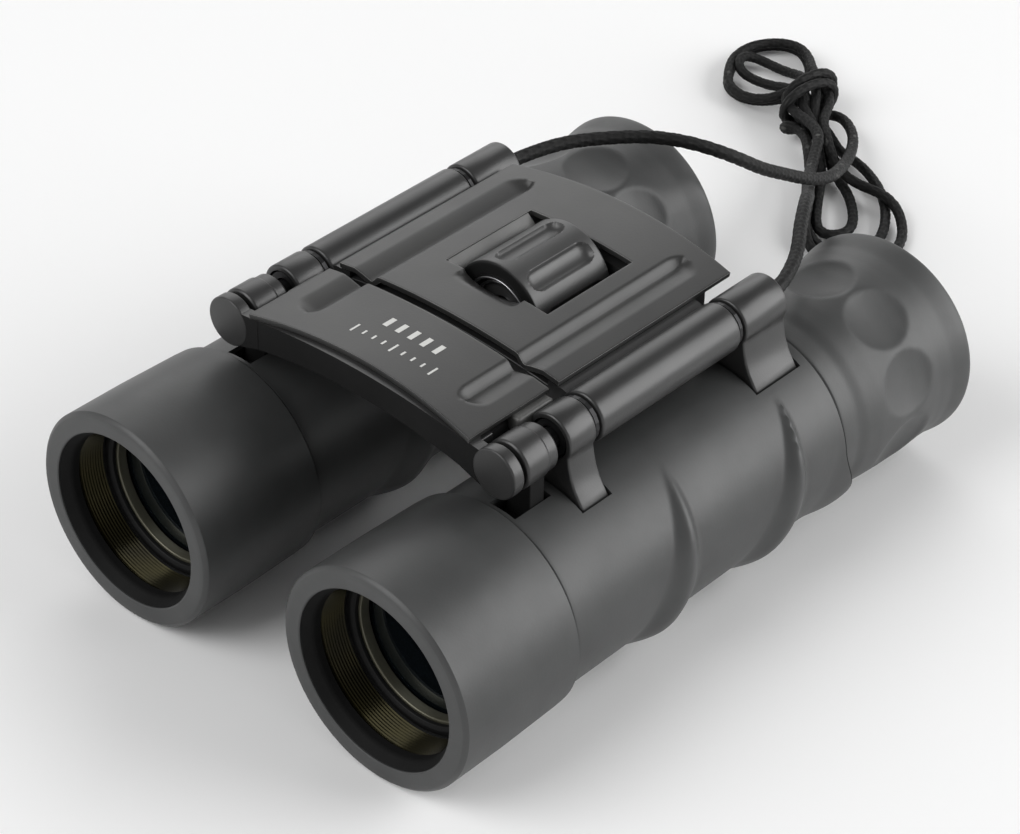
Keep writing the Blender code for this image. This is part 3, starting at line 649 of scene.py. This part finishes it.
def make_objective(side, sign):
    x, hinge = sign * TUBE_X, sign * HINGE_X
    body = side + "_objective"
    corners = [(13.3, 8.6), (13.3, 34.0), (12.2, 34.0), (12.2, 17.6), (11.5, 17.6), (11.5, 16.4),
               (12.6, 16.4), (12.6, 8.6)]
    cell = turned(side + "_cell", fillet(corners, 0.12, 2), x, TUBE_Z, INNER_BLACK_AND_SHADE)
    seat(cell, body, "inner_black", side + "_objective_cell")
    corners = [(KNUCKLE_R - 0.35, RING[0]), (KNUCKLE_R - 0.05, RING[0] + 0.3),
               (KNUCKLE_R - 0.05, 30.0), (KNUCKLE_R - 0.3, 30.25), (KNUCKLE_R - 0.3, RING[1] - 0.5),
               (KNUCKLE_R - 0.8, RING[1]), (PIN_BORE, RING[1]), (PIN_BORE, RING[0])]
    ring = turned(side + "_arm_ring", fillet(corners, 0.15, 3), hinge, HINGE_Z, CASTING, 64)
    seat(ring, body, "bridge_casting")
    # The focus arm is coloured as painted shade, so the slot round it reads dark.
    outline = box_outline(hinge - 2.2, hinge + 2.2, 30.3, 37.6)
    arm = prism(side + "_focus_arm", outline, 28.0, 31.0, PAINTED_SHADE_RUBBER, 0.2)
    seat(arm, body, "bridge_casting")
    corners = [(12.3, 9.3), (12.3, 10.9), (11.3, 10.9), (11.3, 9.4), (11.45, 9.2)]
    retainer = turned(side + "_retainer", fillet(corners, 0.12, 3), x, TUBE_Z, ALLOY)
    seat(retainer, body, "bare_alloy", side + "_objective_retaining_ring")
    corners = [(13.2, 8.3), (13.2, 8.56), (12.55, 8.9), (12.3, 9.25), (11.75, 9.15), (11.85, 8.6),
               (12.5, 8.3)]
    nose = turned(side + "_cell_nose", fillet(corners, 0.1, 3), x, TUBE_Z, NOSE_BLACK)
    seat(nose, body, "inner_black")
    front = [(12.3 * i / 10, 11.4 - 1.0 * (1 - (i / 10) ** 2)) for i in range(11)]
    rear = [(12.3 * i / 10, 14.6 + 1.0 * (1 - (i / 10) ** 2)) for i in range(10, -1, -1)]
    glass = turned(side + "_front_glass", front + rear, x, TUBE_Z, GLASS, 64)
    seat(glass, body, "coated_glass", side + "_objective_lens")


# Bridge

def crown(x):
    return PLATE_EDGE_Z + PLATE_RISE * (1 - (x / PLATE_HALF) ** 2)


def edge_bow(x):
    return PLATE_BOW * (1 - (x / PLATE_HALF) ** 2)


def channel(x, depth, front, rear):
    """Sink of the lengthwise channel: a steep inner wall and a gently rising outer side."""
    across = abs(x)
    sink = 1.0
    for end, away in ((front, front - depth), (rear, depth - rear)):
        over = away + CHANNEL_END
        if over > 0.0:
            if over >= CHANNEL_END:
                return 0.0
            narrow = math.sqrt(1 - (over / CHANNEL_END) ** 2)
            across = CHANNEL_FLOOR + (across - CHANNEL_FLOOR) / narrow
            sink = narrow
    if across < CHANNEL_FLOOR:
        return CHANNEL_SINK * sink * ease(across, CHANNEL_INNER, CHANNEL_FLOOR)
    if across < CHANNEL_OUTER:
        slope = (CHANNEL_OUTER - across) / (CHANNEL_OUTER - CHANNEL_FLOOR)
        return CHANNEL_SINK * sink * slope ** 1.15
    return 0.0


def wheel_scoop(x, depth):
    """Where the main plate dips towards the front of the focus wheel."""
    side = 1 - ((x - SCOOP_CENTRE) / SCOOP_HALF) ** 2
    if side <= 0.0 or depth > WINDOW[0] + 0.5:
        return 0.0
    return SCOOP_SINK * math.sqrt(side) * ease(depth, WINDOW[0] - 3.2, WINDOW[0] + 0.3) ** 1.2


def places(low, high, spacing, *fixed):
    """Even places from low to high that include the fixed ones."""
    stops = sorted({low, high, *fixed})
    result = []
    for start, end in zip(stops, stops[1:]):
        count = max(1, round((end - start) / spacing))
        result += [start + (end - start) * i / count for i in range(count)]
    return result + [high]


def make_plate(name, depths, bows, channels, window=None, scoop=None):
    """Crowned sheet with channels, thickened downwards, with a paler rounded edge."""
    columns = places(-PLATE_HALF, PLATE_HALF, 0.3, *(window[0] if window else ()))
    rows = places(*depths, 0.4, *(window[1] if window else ()))
    points = []
    for depth in rows:
        share = (depth - depths[0]) / (depths[1] - depths[0])
        for x in columns:
            shift = mix(bows[0] * (1 - share) ** 3, bows[1] * share ** 3, share) * edge_bow(x)
            place = depth + shift
            sink = channel(x, place, *channels)
            if scoop:
                sink += scoop(x, place)
            points.append((x, place, crown(x) - sink))

    def in_window(i, j):
        if not window:
            return False
        x, depth = (columns[j] + columns[j + 1]) / 2, (rows[i] + rows[i + 1]) / 2
        return window[0][0] < x < window[0][1] and window[1][0] < depth < window[1][1]

    faces = grid_faces(len(rows), len(columns), skip=in_window)
    item = add_mesh(name, points, faces, SKIN_METAL, 50.0)
    if item.data.polygons[0].normal.z < 0:
        item.data.flip_normals()
    shell = item.modifiers.new("Thickness", "SOLIDIFY")
    shell.thickness = SKIN * MM
    shell.offset = -1.0
    # The rounded edge takes a paler colour.
    item.data.materials.append(EDGE_METAL)
    round_edges(item, 0.2, 2, 60.0)
    item.modifiers["Round"].material = 1
    apply_modifiers(item, 30.0)
    return item


def bowed_bar(name, half, top, bottom, start, end, count=25, bevel=0.0):
    """Cast bar across the bridge, between the curves top(x) and bottom(x)."""
    outline = [(x, top(x)) for x in np.linspace(-half, half, count)]
    outline += [(x, bottom(x)) for x in np.linspace(half, -half, count)]
    return prism(name, outline, start, end, CASTING, bevel)


def make_bridge():
    skin = make_plate("bridge_skin", MAIN_PLATE, (0.0, 1.0), (30.0, 76.2), (WINDOW_X, WINDOW),
                      wheel_scoop)
    seat(skin, "bridge", "bridge_skin", "bridge_top_plate")
    casting = bowed_bar("bridge_casting", CASTING_HALF, lambda x: crown(x) - CASTING_DROP,
                        lambda x: crown(x) - 4.2, MAIN_PLATE[0] + 0.2, 78.6, bevel=0.2)
    apply_modifiers(casting)
    parts = []
    cutters = []
    web = [(19.5, 43.6), (22.2, 43.5), (23.3, 43.1), (24.2, 43.9), (25.2, 43.0), (25.2, 39.0),
           (22.6, 38.4), (19.5, 40.2)]
    for _, sign in SIDES:
        x = sign * HINGE_X
        rib = box_outline(sign * 16.5, sign * 18.4, WALL_FOOT, 42.4)
        corner = box_outline(sign * 18.8, sign * 23.0, 36.0, 46.0)
        parts += [prism("web", mirrored(web, sign), BARREL[0] + 0.3, BARREL[1] - 0.3, CASTING),
                  turned("barrel", bar_outline(KNUCKLE_R, *BARREL, 0.5), x, HINGE_Z, CASTING, 72),
                  prism("rib", rib, 42.6, 77.4, CASTING)]
        cutters += [prism("bore", circle(x, HINGE_Z, BUSH_BORE), 40.0, 48.0),
                    prism("bore", circle(x, HINGE_Z, PIN_BORE), 58.0, 73.0),
                    prism("corner", corner, BARREL[1] - 0.2, 80.0)]
        cutters += [post("screw_hole", 1.1, sign * 13.0, depth, 36.0, 41.5) for depth in (46.5, 73.5)]
    for start, end in ((43.0, WINDOW[0]), (WINDOW[1], 76.0)):
        parts.append(prism("wall", box_outline(-9.2, 10.2, WALL_FOOT, 43.6), start, end, CASTING))
    boolean(casting, "UNION", *parts)
    near, far = WINDOW_X
    opening = [(near, 47.0), (near, 45.4), (-9.15, 43.0), (-9.15, 30.0), (far, 30.0), (far, 47.0)]
    boolean(casting, "DIFFERENCE", prism("window", opening, *WINDOW),
            prism("bore", circle(0.0, WHEEL_Z, 2.1), 35.0, 52.0), *cutters)
    seat(casting, "bridge", "bridge_casting", "main_bridge")
    seat(make_window_liner(), "bridge", "bridge_casting")


def make_window_liner():
    """The sloped wall along the wheel's far side, inside the window."""
    outer = WINDOW_X[0] - 0.5
    outline = [(outer, 45.0), (-9.25, 45.8), (-8.0, 44.7), (-7.6, 44.1), (-7.7, 43.7), (-8.6, 43.0),
               (-9.15, 42.6), (-9.15, 38.4), (outer, 38.4)]
    return prism("window_liner", outline, WINDOW[0] + 0.3, WINDOW[1] - 0.3, GREY_CAST, 0.12)


def make_wheel():
    front, rear = WHEEL
    middle = (front + rear) / 2

    def warp(radius, depth, angle):
        if radius < WHEEL_R - 0.35:
            return radius, depth
        pitch = 2 * math.pi / WHEEL_POCKETS
        off = (angle - math.radians(FIRST_POCKET) + pitch / 2) % pitch - pitch / 2
        along = max(0.0, abs(depth - middle) - (POCKET_RUN - POCKET_HALF))
        reach = math.hypot(along, off * WHEEL_R) / POCKET_HALF
        if reach < 1.0:
            radius -= POCKET_SINK * math.sqrt(1 - reach ** 2)
        return radius, depth

    outer = [(2.2, front + 1.1), (5.9, front + 1.1), (5.95, front + 0.15), (6.1, front), (8.0, front),
             (WHEEL_R, front + 0.2), (WHEEL_R, rear - 0.4), (7.9, rear), (3.2, rear),
             (3.2, rear + 0.7), (2.2, rear + 0.7)]
    inner = [(2.2, rear - 1.5), (4.4, rear - 1.5), (4.4, front + 1.7), (2.2, front + 1.7)]
    profile = dense(fillet(outer + inner, 0.18, 3), 0.25)
    wheel = turned("wheel", profile, 0.0, WHEEL_Z, WHEEL_FINISH, 360, warp)
    # The wheel's front face is painted shade.
    face_depth = (front + 1.0 - LENGTH / 2) * MM
    shade(wheel, INNER_BLACK_AND_SHADE, lambda face: face.normal.y < -0.7 and face.center.y < face_depth)
    seat(wheel, "focus_drive", "focus_wheel", "focus_wheel")
    for number, (bore, radius, start) in enumerate(HUB_RINGS, 1):
        rim = fillet([(bore, start), (radius, start), (radius, 53.6), (bore, 53.6)], 0.12, 3)
        hub = turned("wheel_hub_%d" % number, rim, 0.0, WHEEL_Z, STEEL, 64)
        seat(hub, "focus_drive", "steel")


def make_focus_carriage():
    plate = make_plate("focus_skin", FOCUS_PLATE, (1.0, 0.0), (28.2, 60.0))
    seat(plate, "focus_carriage", "bridge_skin", "focus_top_plate")
    casting = bowed_bar("carriage", CASTING_HALF, lambda x: crown(x) - CASTING_DROP,
                        lambda x: crown(x) - 3.9, 25.0, 38.9)
    apply_modifiers(casting)
    front, rear = DISC
    parts = [bowed_bar("front_face", FACE_HALF, lambda x: crown(x) - 0.86,
                       lambda x: 41.0 - 2.4 * (x / FACE_HALF) ** 2, front + 0.1, 25.6, 33)]
    web = [(20.0, 43.9), (21.6, 43.7), (23.4, 43.5), (25.0, 43.9), (25.0, 37.4), (23.0, 37.9),
           (20.0, 38.9)]
    cutters = [prism("bore", circle(0.0, WHEEL_Z, 2.0), 28.0, 45.0)]
    for side, sign in SIDES:
        x = sign * HINGE_X
        disc = turned("disc", bar_outline(KNUCKLE_R - 0.05, *DISC, 0.3), x, HINGE_Z, CASTING, 64)
        ledge = box_outline(sign * 20.4, sign * 22.9, 41.0, 43.6)
        seat(prism(side + "_ledge", ledge, 31.6, 38.9, GREY_CAST, 0.5), "focus_carriage",
             "bridge_casting")
        corner = box_outline(sign * 19.6, sign * 21.9, 40.4, 43.2)
        corner = prism("corner", corner, 24.0, 27.6, CASTING, 0.3)
        apply_modifiers(corner)
        parts += [prism("web", mirrored(web, sign), front + 0.05, rear - 0.05, CASTING), disc, corner]
        cutters.append(prism("bore", circle(x, HINGE_Z, PIN_BORE), front + 0.8, 27.0))
    parts.append(prism("boss", box_outline(-4.2, 4.2, 37.6, 43.6), 28.0, 38.6, CASTING))
    boolean(casting, "UNION", *parts)
    boolean(casting, "DIFFERENCE", *cutters)
    round_edges(casting, 0.15, 2, 50.0)
    apply_modifiers(casting)
    # The tall front face is painted shade, darker than the casting round it.
    face_depth = (front + 0.03 - LENGTH / 2) * MM
    shade(casting, PAINTED_SHADE_RUBBER, lambda face: face.normal.y < -0.9 and face.center.y > face_depth)
    seat(casting, "focus_carriage", "bridge_casting", "focus_plate")
    make_marks()


def make_marks():
    """Two rows of plain short bars printed on the small plate."""
    points, faces = [], []
    for depth, pitch, half, lengths in BAR_ROWS:
        for i, length in enumerate(lengths):
            x = (i - (len(lengths) - 1) / 2) * pitch + PRINT_CENTRE
            base = len(points)
            for lift in (0.0, PRINT_HEIGHT):
                points += [(a, b, crown(a) + lift)
                           for a, b in box_outline(x - half, x + half, depth - length, depth + length)]
            a, b, c, d, e, f, g, h = range(base, base + 8)
            faces += [(a, b, c, d), (e, f, g, h), (a, b, f, e), (b, c, g, f), (c, d, h, g),
                      (d, a, e, h)]
    marks = add_mesh("scale_marks", points, faces, PRINT)
    seat(marks, "focus_carriage", "bridge_skin")


# Cord

RIGHT_RUN = [(-26.2, 82.4, 40.8), (-25.9, 86.0, 40.7), (-25.1, 92.2, 40.2), (-23.8, 97.4, 39.5),
             (-21.6, 101.6, 39.0), (-19.1, 105.6, 38.6), (-17.0, 108.0, 38.3), (-14.2, 110.2, 38.0),
             (-11.4, 112.5, 37.2), (-9.4, 115.2, 35.6), (-8.3, 119.7, 32.5), (-8.1, 124.9, 28.6),
             (-8.5, 131.2, 24.6), (-9.3, 137.8, 20.4), (-10.6, 144.5, 16.5), (-12.8, 151.6, 13.0),
             (-16.6, 160.1, 9.5), (-20.8, 168.0, 6.5), (-25.8, 175.7, 4.4), (-30.3, 180.0, 3.6),
             (-34.1, 181.2, 3.6)]
LEFT_RUN = [(26.2, 82.4, 40.8), (25.9, 85.6, 40.8), (24.6, 89.0, 40.5), (22.4, 93.6, 39.9),
            (19.9, 97.8, 39.4), (16.9, 102.0, 38.9), (14.3, 106.0, 38.4), (11.4, 110.6, 37.6),
            (8.0, 115.8, 34.8), (3.4, 121.9, 28.6), (-3.8, 132.1, 21.0), (-10.2, 141.3, 15.0),
            (-16.3, 149.7, 11.0), (-21.1, 156.9, 8.4), (-25.0, 163.4, 7.8), (-29.6, 169.6, 7.2)]
FAR_LOOPS = [
    [(-46.7, 190.1, 2.6), (-50.6, 194.9, 1.2), (-54.9, 198.0, 1.1), (-57.7, 198.1, 1.1),
     (-60.4, 196.4, 1.1), (-62.2, 193.5, 1.1), (-62.5, 189.7, 1.1), (-61.3, 185.3, 1.1),
     (-58.9, 180.8, 1.1), (-56.2, 177.9, 1.1), (-52.8, 176.8, 1.1), (-49.6, 177.6, 1.3),
     (-46.0, 179.2, 2.2)],
    [(-46.6, 184.8, 2.4), (-50.0, 184.2, 1.2), (-53.2, 183.4, 1.4), (-56.0, 182.2, 2.2),
     (-58.4, 182.6, 3.0), (-60.0, 184.8, 3.2), (-60.4, 187.2, 3.0), (-59.2, 188.9, 2.2),
     (-57.0, 189.8, 1.4), (-54.4, 190.3, 1.0), (-50.9, 189.6, 1.6), (-47.8, 188.0, 3.2)],
    [(-44.8, 178.0, 4.0), (-48.4, 176.4, 2.7), (-51.8, 175.6, 2.4), (-55.2, 176.7, 2.4),
     (-57.9, 179.6, 2.5), (-60.3, 184.2, 2.8), (-61.5, 188.6, 2.8), (-61.2, 192.4, 2.6),
     (-59.4, 195.3, 2.6), (-56.7, 197.0, 2.6), (-53.9, 196.9, 2.6), (-49.6, 193.8, 2.9),
     (-45.7, 189.4, 4.2)]]
NEAR_LOOPS = [
    [(-33.6, 177.4, 3.0), (-28.4, 174.6, 1.3), (-23.0, 173.6, 1.3), (-17.4, 171.0, 1.3),
     (-12.4, 167.3, 1.3), (-8.6, 163.0, 1.3), (-5.8, 158.6, 1.3), (-4.2, 153.6, 1.3),
     (-5.6, 148.8, 1.3), (-9.6, 147.0, 1.3), (-14.0, 148.4, 1.3), (-17.8, 152.0, 1.3),
     (-21.4, 157.2, 1.3), (-26.8, 164.8, 1.6), (-33.4, 171.8, 3.0)],
    [(-33.6, 174.2, 4.6), (-28.6, 171.0, 3.4), (-23.6, 167.5, 1.5), (-19.0, 165.0, 1.3),
     (-15.0, 161.6, 1.3), (-11.6, 157.6, 1.3), (-10.1, 154.0, 1.3), (-11.4, 151.0, 1.3),
     (-14.2, 150.6, 1.3), (-16.4, 153.2, 1.3), (-19.9, 158.0, 1.3), (-23.4, 163.6, 2.4),
     (-28.0, 168.6, 3.9), (-32.8, 173.2, 5.4)],
    [(-33.0, 175.8, 5.6), (-27.6, 170.4, 5.4), (-22.0, 166.2, 4.0), (-17.3, 165.4, 3.0),
     (-12.4, 166.2, 3.0), (-7.2, 164.4, 2.6), (-3.1, 160.6, 1.3), (-0.8, 155.6, 1.3),
     (-0.6, 149.6, 1.3), (-4.6, 145.2, 1.3), (-9.8, 144.6, 1.3), (-13.8, 146.8, 2.2),
     (-17.0, 150.8, 2.9), (-20.4, 156.2, 2.9), (-24.8, 161.8, 3.6), (-29.8, 167.4, 5.0),
     (-35.2, 171.8, 4.0)]]
KNOT = (-39.2, 179.6, 4.9)
KNOT_AXIS = (-0.6, 0.8)
KNOT_HALF = 3.6


def knot_point(along, across, z):
    """Turn a place in the knot, along and across its axis, into a point of the route."""
    x = KNOT[0] + KNOT_AXIS[0] * along + KNOT_AXIS[1] * across
    depth = KNOT[1] + KNOT_AXIS[1] * along - KNOT_AXIS[0] * across
    return (x, depth, z)


def lane(across, z, outward=True):
    """A straight run of the cord through the knot."""
    run = [knot_point(along, across, z) for along in (-KNOT_HALF, 0.0, KNOT_HALF)]
    return run if outward else run[::-1]


def cord_route():
    """The whole cord: in from the right, through the knot and its loops, and out to the left."""
    wraps = []
    for i in range(WRAP_STEPS):
        angle = math.radians(30 * i - 100)
        across = WRAP_WIDTH * math.sin(angle)
        along = 0.3 * i - KNOT_HALF + 1.1 * across
        wraps.append(knot_point(along, across, KNOT[2] - WRAP_HEIGHT * math.cos(angle)))
    return [*RIGHT_RUN, *lane(2.6, 3.7), *FAR_LOOPS[0], *lane(-2.6, 3.7, False), *NEAR_LOOPS[0],
            *lane(0.0, 3.7), *FAR_LOOPS[1], *lane(1.3, 6.1, False), *NEAR_LOOPS[1],
            *lane(-1.3, 6.1), *FAR_LOOPS[2], *lane(3.9, 5.4, False), *NEAR_LOOPS[2], *wraps,
            *LEFT_RUN[::-1]]


def smooth_route(points, spacing):
    """Points along a Catmull-Rom curve through the route."""
    route = [np.array(point, float) for point in points]
    route = [2 * route[0] - route[1], *route, 2 * route[-1] - route[-2]]
    result = []
    for a, b, c, d in zip(route, route[1:], route[2:], route[3:]):
        steps = max(1, round(float(np.linalg.norm(c - b)) / spacing))
        for t in np.arange(steps) / steps:
            result.append(0.5 * (2 * b + (c - a) * t + (2 * a - 5 * b + 4 * c - d) * t ** 2
                                 + (3 * b - a - 3 * c + d) * t ** 3))
    return np.array([*result, route[-2]])


def settle(line):
    """Ease the strands apart where they touch, relax sharp bends and rest them on the ground."""
    home = line.copy()
    order = np.arange(len(line))
    apart = np.abs(order[:, None] - order[None]) > NEIGHBOURS
    gap = 2 * HANK_R + STRAND_GAP
    for _ in range(SETTLE_ROUNDS):
        offset = line[:, None] - line[None]
        distance = np.linalg.norm(offset, axis=2)
        near = apart & (distance < gap) & (distance > 0)
        share = np.where(near, (gap - distance) * 0.25 / np.maximum(distance, 1e-6), 0.0)
        push = np.clip((offset * share[..., None]).sum(1), -MAX_PUSH, MAX_PUSH)
        bend = np.zeros_like(line)
        bend[1:-1] = (line[:-2] + line[2:]) / 2 - line[1:-1]
        stiff = np.zeros_like(line)
        stiff[1:-1] = (bend[:-2] + bend[2:]) / 2 - bend[1:-1]
        move = push + RELAX * bend - STIFFEN * stiff + RETURN * (home - line)
        line[HELD_ENDS:-HELD_ENDS] += move[HELD_ENDS:-HELD_ENDS]
        line[:, 2] = np.maximum(line[:, 2], HANK_R + 0.05)
    return line


def even_steps(line, spacing):
    """The line cut into even steps, and its length."""
    lengths = np.concatenate([[0.0], np.cumsum(np.linalg.norm(np.diff(line, axis=0), axis=1))])
    stops = np.linspace(0.0, lengths[-1], round(lengths[-1] / spacing) + 1)
    return np.stack([np.interp(stops, lengths, line[:, k]) for k in range(3)], 1), lengths[-1]


def braid_radius(thickness, angle, travelled):
    """Radius of the woven surface, where two sets of strands cross."""
    over = math.sin(STRANDS * (angle + travelled / STRANDS * 2) / 2)
    under = math.sin(STRANDS * (angle - travelled / STRANDS * 2) / 2)
    return thickness + BRAID_RELIEF * (max(over * over, under * under) - 0.75)


def make_cord():
    line = settle(smooth_route(cord_route(), ROUTE_STEP))
    for _ in range(2):
        line[1:-1] = line[1:-1] * 0.5 + (line[:-2] + line[2:]) * 0.25
    fine, length = even_steps(line, CORD_STEP)
    tangent = np.gradient(fine, axis=0)
    tangent /= np.linalg.norm(tangent, axis=1)[:, None]
    normal = np.array([0.0, 0.0, 1.0])
    points = []
    for i, (centre, along) in enumerate(zip(fine, tangent)):
        from_end = min(i, len(fine) - 1 - i) * CORD_STEP
        thickness = mix(CORD_R, HANK_R, ease(from_end, *HANK_START))
        normal = normal - along * float(normal @ along)
        normal /= np.linalg.norm(normal)
        side = np.cross(along, normal)
        travelled = i * CORD_STEP / BRAID_LAY * 2 * math.pi
        for k in range(CORD_SIDES):
            angle = 2 * math.pi * k / CORD_SIDES
            radius = braid_radius(thickness, angle, travelled)
            points.append(centre + (normal * math.cos(angle) + side * math.sin(angle)) * radius)
    faces = grid_faces(len(fine), CORD_SIDES, False, True)
    faces.append(tuple(range(CORD_SIDES)))
    faces.append(tuple(range(len(points) - 1, len(points) - CORD_SIDES - 1, -1)))
    cord = add_mesh("wrist_cord", points, faces, CORD, 180.0)
    seat(cord, "bridge", "cord", "left_cord_run", "right_cord_run", "cord_hank")


# Carried-over CAD nodes

CARRIED = {"bridge_bottom_cover": CASTING, "focus_nut": BRASS, "focus_screw": STEEL}
CARRIED.update({"cover_screw_%d" % number: STEEL for number in (1, 2, 3, 4)})
CARRIED_BY_SIDE = {
    "front_hinge_bush": BLACKED_STEEL, "front_hinge_washer": BLACKED_STEEL,
    "rear_hinge_pin": BLACKED_STEEL, "rear_hinge_washer": BLACKED_STEEL, "guide_pin": BLACKED_STEEL,
    "prism_holder": INNER_BLACK_AND_SHADE, "front_prism": PRISM, "roof_prism": PRISM, "prism_clip": STEEL,
    "field_stop": INNER_BLACK_AND_SHADE, "eyepiece_barrel": INNER_BLACK_AND_SHADE, "field_lens": GLASS,
    "lens_spacer": INNER_BLACK_AND_SHADE, "eye_lens": GLASS, "eyepiece_retaining_ring": INNER_BLACK_AND_SHADE,
}


def finish_carried_nodes():
    """Give the CAD nodes that are not redrawn a material of their own."""
    wanted = dict(CARRIED)
    for side, _ in SIDES:
        wanted.update({side + "_" + name: material for name, material in CARRIED_BY_SIDE.items()})
    for name, material in wanted.items():
        mesh = frame["nodes"][name].data
        mesh.materials.clear()
        mesh.materials.append(material)
        for polygon in mesh.polygons:
            polygon.material_index = 0


# Floor, light and camera

CAMERA_AZIMUTH = 43.05
CAMERA_ELEVATION = 36.62
CAMERA_ROLL = 0.4
CAMERA_DISTANCE = 473.0
CAMERA_LENS = 111.27
CAMERA_TARGET = (-5.88, -8.88, 20.6)
CAMERA_SHIFT = (0.0582, -0.0019)
SENSOR = 36.0
FLOOR_HALF = 6.0             # metres
SKY = [(0.0, grey(1.0)), (0.05, grey(1.0)), (0.2, grey(0.5)), (1.0, grey(0.25))]
SKY_STRENGTH = 0.96
SOFT_BOXES = [("key", (0.805, 0.675, 0.466), 0.95, 11.5),     # name, place in metres, size, power
              ("front", (-0.36, -0.86, 0.85), 0.9, 9.3),
              ("rear", (-0.73, 0.704, 0.64), 0.8, 3.0)]
LIT_POINT = (0.0, 0.0, 0.02)


def make_floor():
    build = bmesh.new()
    bmesh.ops.create_grid(build, x_segments=2, y_segments=2, size=FLOOR_HALF)
    mesh = bpy.data.meshes.new("floor")
    build.to_mesh(mesh)
    build.free()
    floor = bpy.data.objects.new("floor", mesh)
    bpy.context.scene.collection.objects.link(floor)
    material, nodes, links = new_material("pale_floor")
    place = nodes.new("ShaderNodeTexCoord").outputs["Object"]
    clouds = noise(nodes, links, place, 3.0, 2.0)
    colour = ramp(nodes, links, clouds, [(0.3, grey(0.90)), (0.7, grey(0.92))])
    shader = nodes["Principled BSDF"]
    links.new(colour, shader.inputs["Base Color"])
    shader.inputs["Roughness"].default_value = 0.9
    shader.inputs["Specular IOR Level"].default_value = 0.0
    mesh.materials.append(material)


def soft_box(name, place, size, power):
    light = bpy.data.lights.new(name, "AREA")
    light.shape = "RECTANGLE"
    light.size = light.size_y = size
    light.energy = power
    item = bpy.data.objects.new(name, light)
    bpy.context.scene.collection.objects.link(item)
    item.location = place
    item.rotation_euler = (Vector(LIT_POINT) - Vector(place)).to_track_quat("-Z", "Y").to_euler()


def make_light():
    """A white horizon that darkens to a grey ceiling, and three large soft boxes."""
    bpy.context.scene.view_settings.view_transform = "Standard"
    world = bpy.data.worlds.new("studio")
    bpy.context.scene.world = world
    world.use_nodes = True
    nodes, links = world.node_tree.nodes, world.node_tree.links
    split = nodes.new("ShaderNodeSeparateXYZ")
    links.new(nodes.new("ShaderNodeTexCoord").outputs["Generated"], split.inputs[0])
    sky = ramp(nodes, links, split.outputs["Z"], SKY)
    links.new(sky, nodes["Background"].inputs["Color"])
    nodes["Background"].inputs["Strength"].default_value = SKY_STRENGTH
    for box in SOFT_BOXES:
        soft_box(*box)


def make_camera():
    azimuth, elevation = math.radians(CAMERA_AZIMUTH), math.radians(CAMERA_ELEVATION)
    back = Vector((math.sin(azimuth) * math.cos(elevation), -math.cos(azimuth) * math.cos(elevation),
                   math.sin(elevation)))
    camera = bpy.data.cameras.new("camera")
    camera.lens = CAMERA_LENS
    camera.sensor_width = SENSOR
    camera.shift_x, camera.shift_y = CAMERA_SHIFT
    camera.clip_start, camera.clip_end = 0.01, 20.0
    item = bpy.data.objects.new("camera", camera)
    bpy.context.scene.collection.objects.link(item)
    item.rotation_mode = "QUATERNION"
    item.location = Vector(CAMERA_TARGET) * MM + back * CAMERA_DISTANCE * MM
    aim = (-back).to_track_quat("-Z", "Y").to_matrix().to_4x4()
    roll = Matrix.Rotation(math.radians(CAMERA_ROLL), 4, "Z")
    item.rotation_quaternion = (aim @ roll).to_quaternion()
    bpy.context.scene.camera = item


make_floor()
make_light()
make_camera()
make_cord()
for side, sign in SIDES:
    make_shroud(side, sign)
    make_armour(side, sign)
    make_eyecup(side, sign)
    make_housing(side, sign)
    make_objective(side, sign)
make_bridge()
make_wheel()
make_focus_carriage()
finish_carried_nodes()
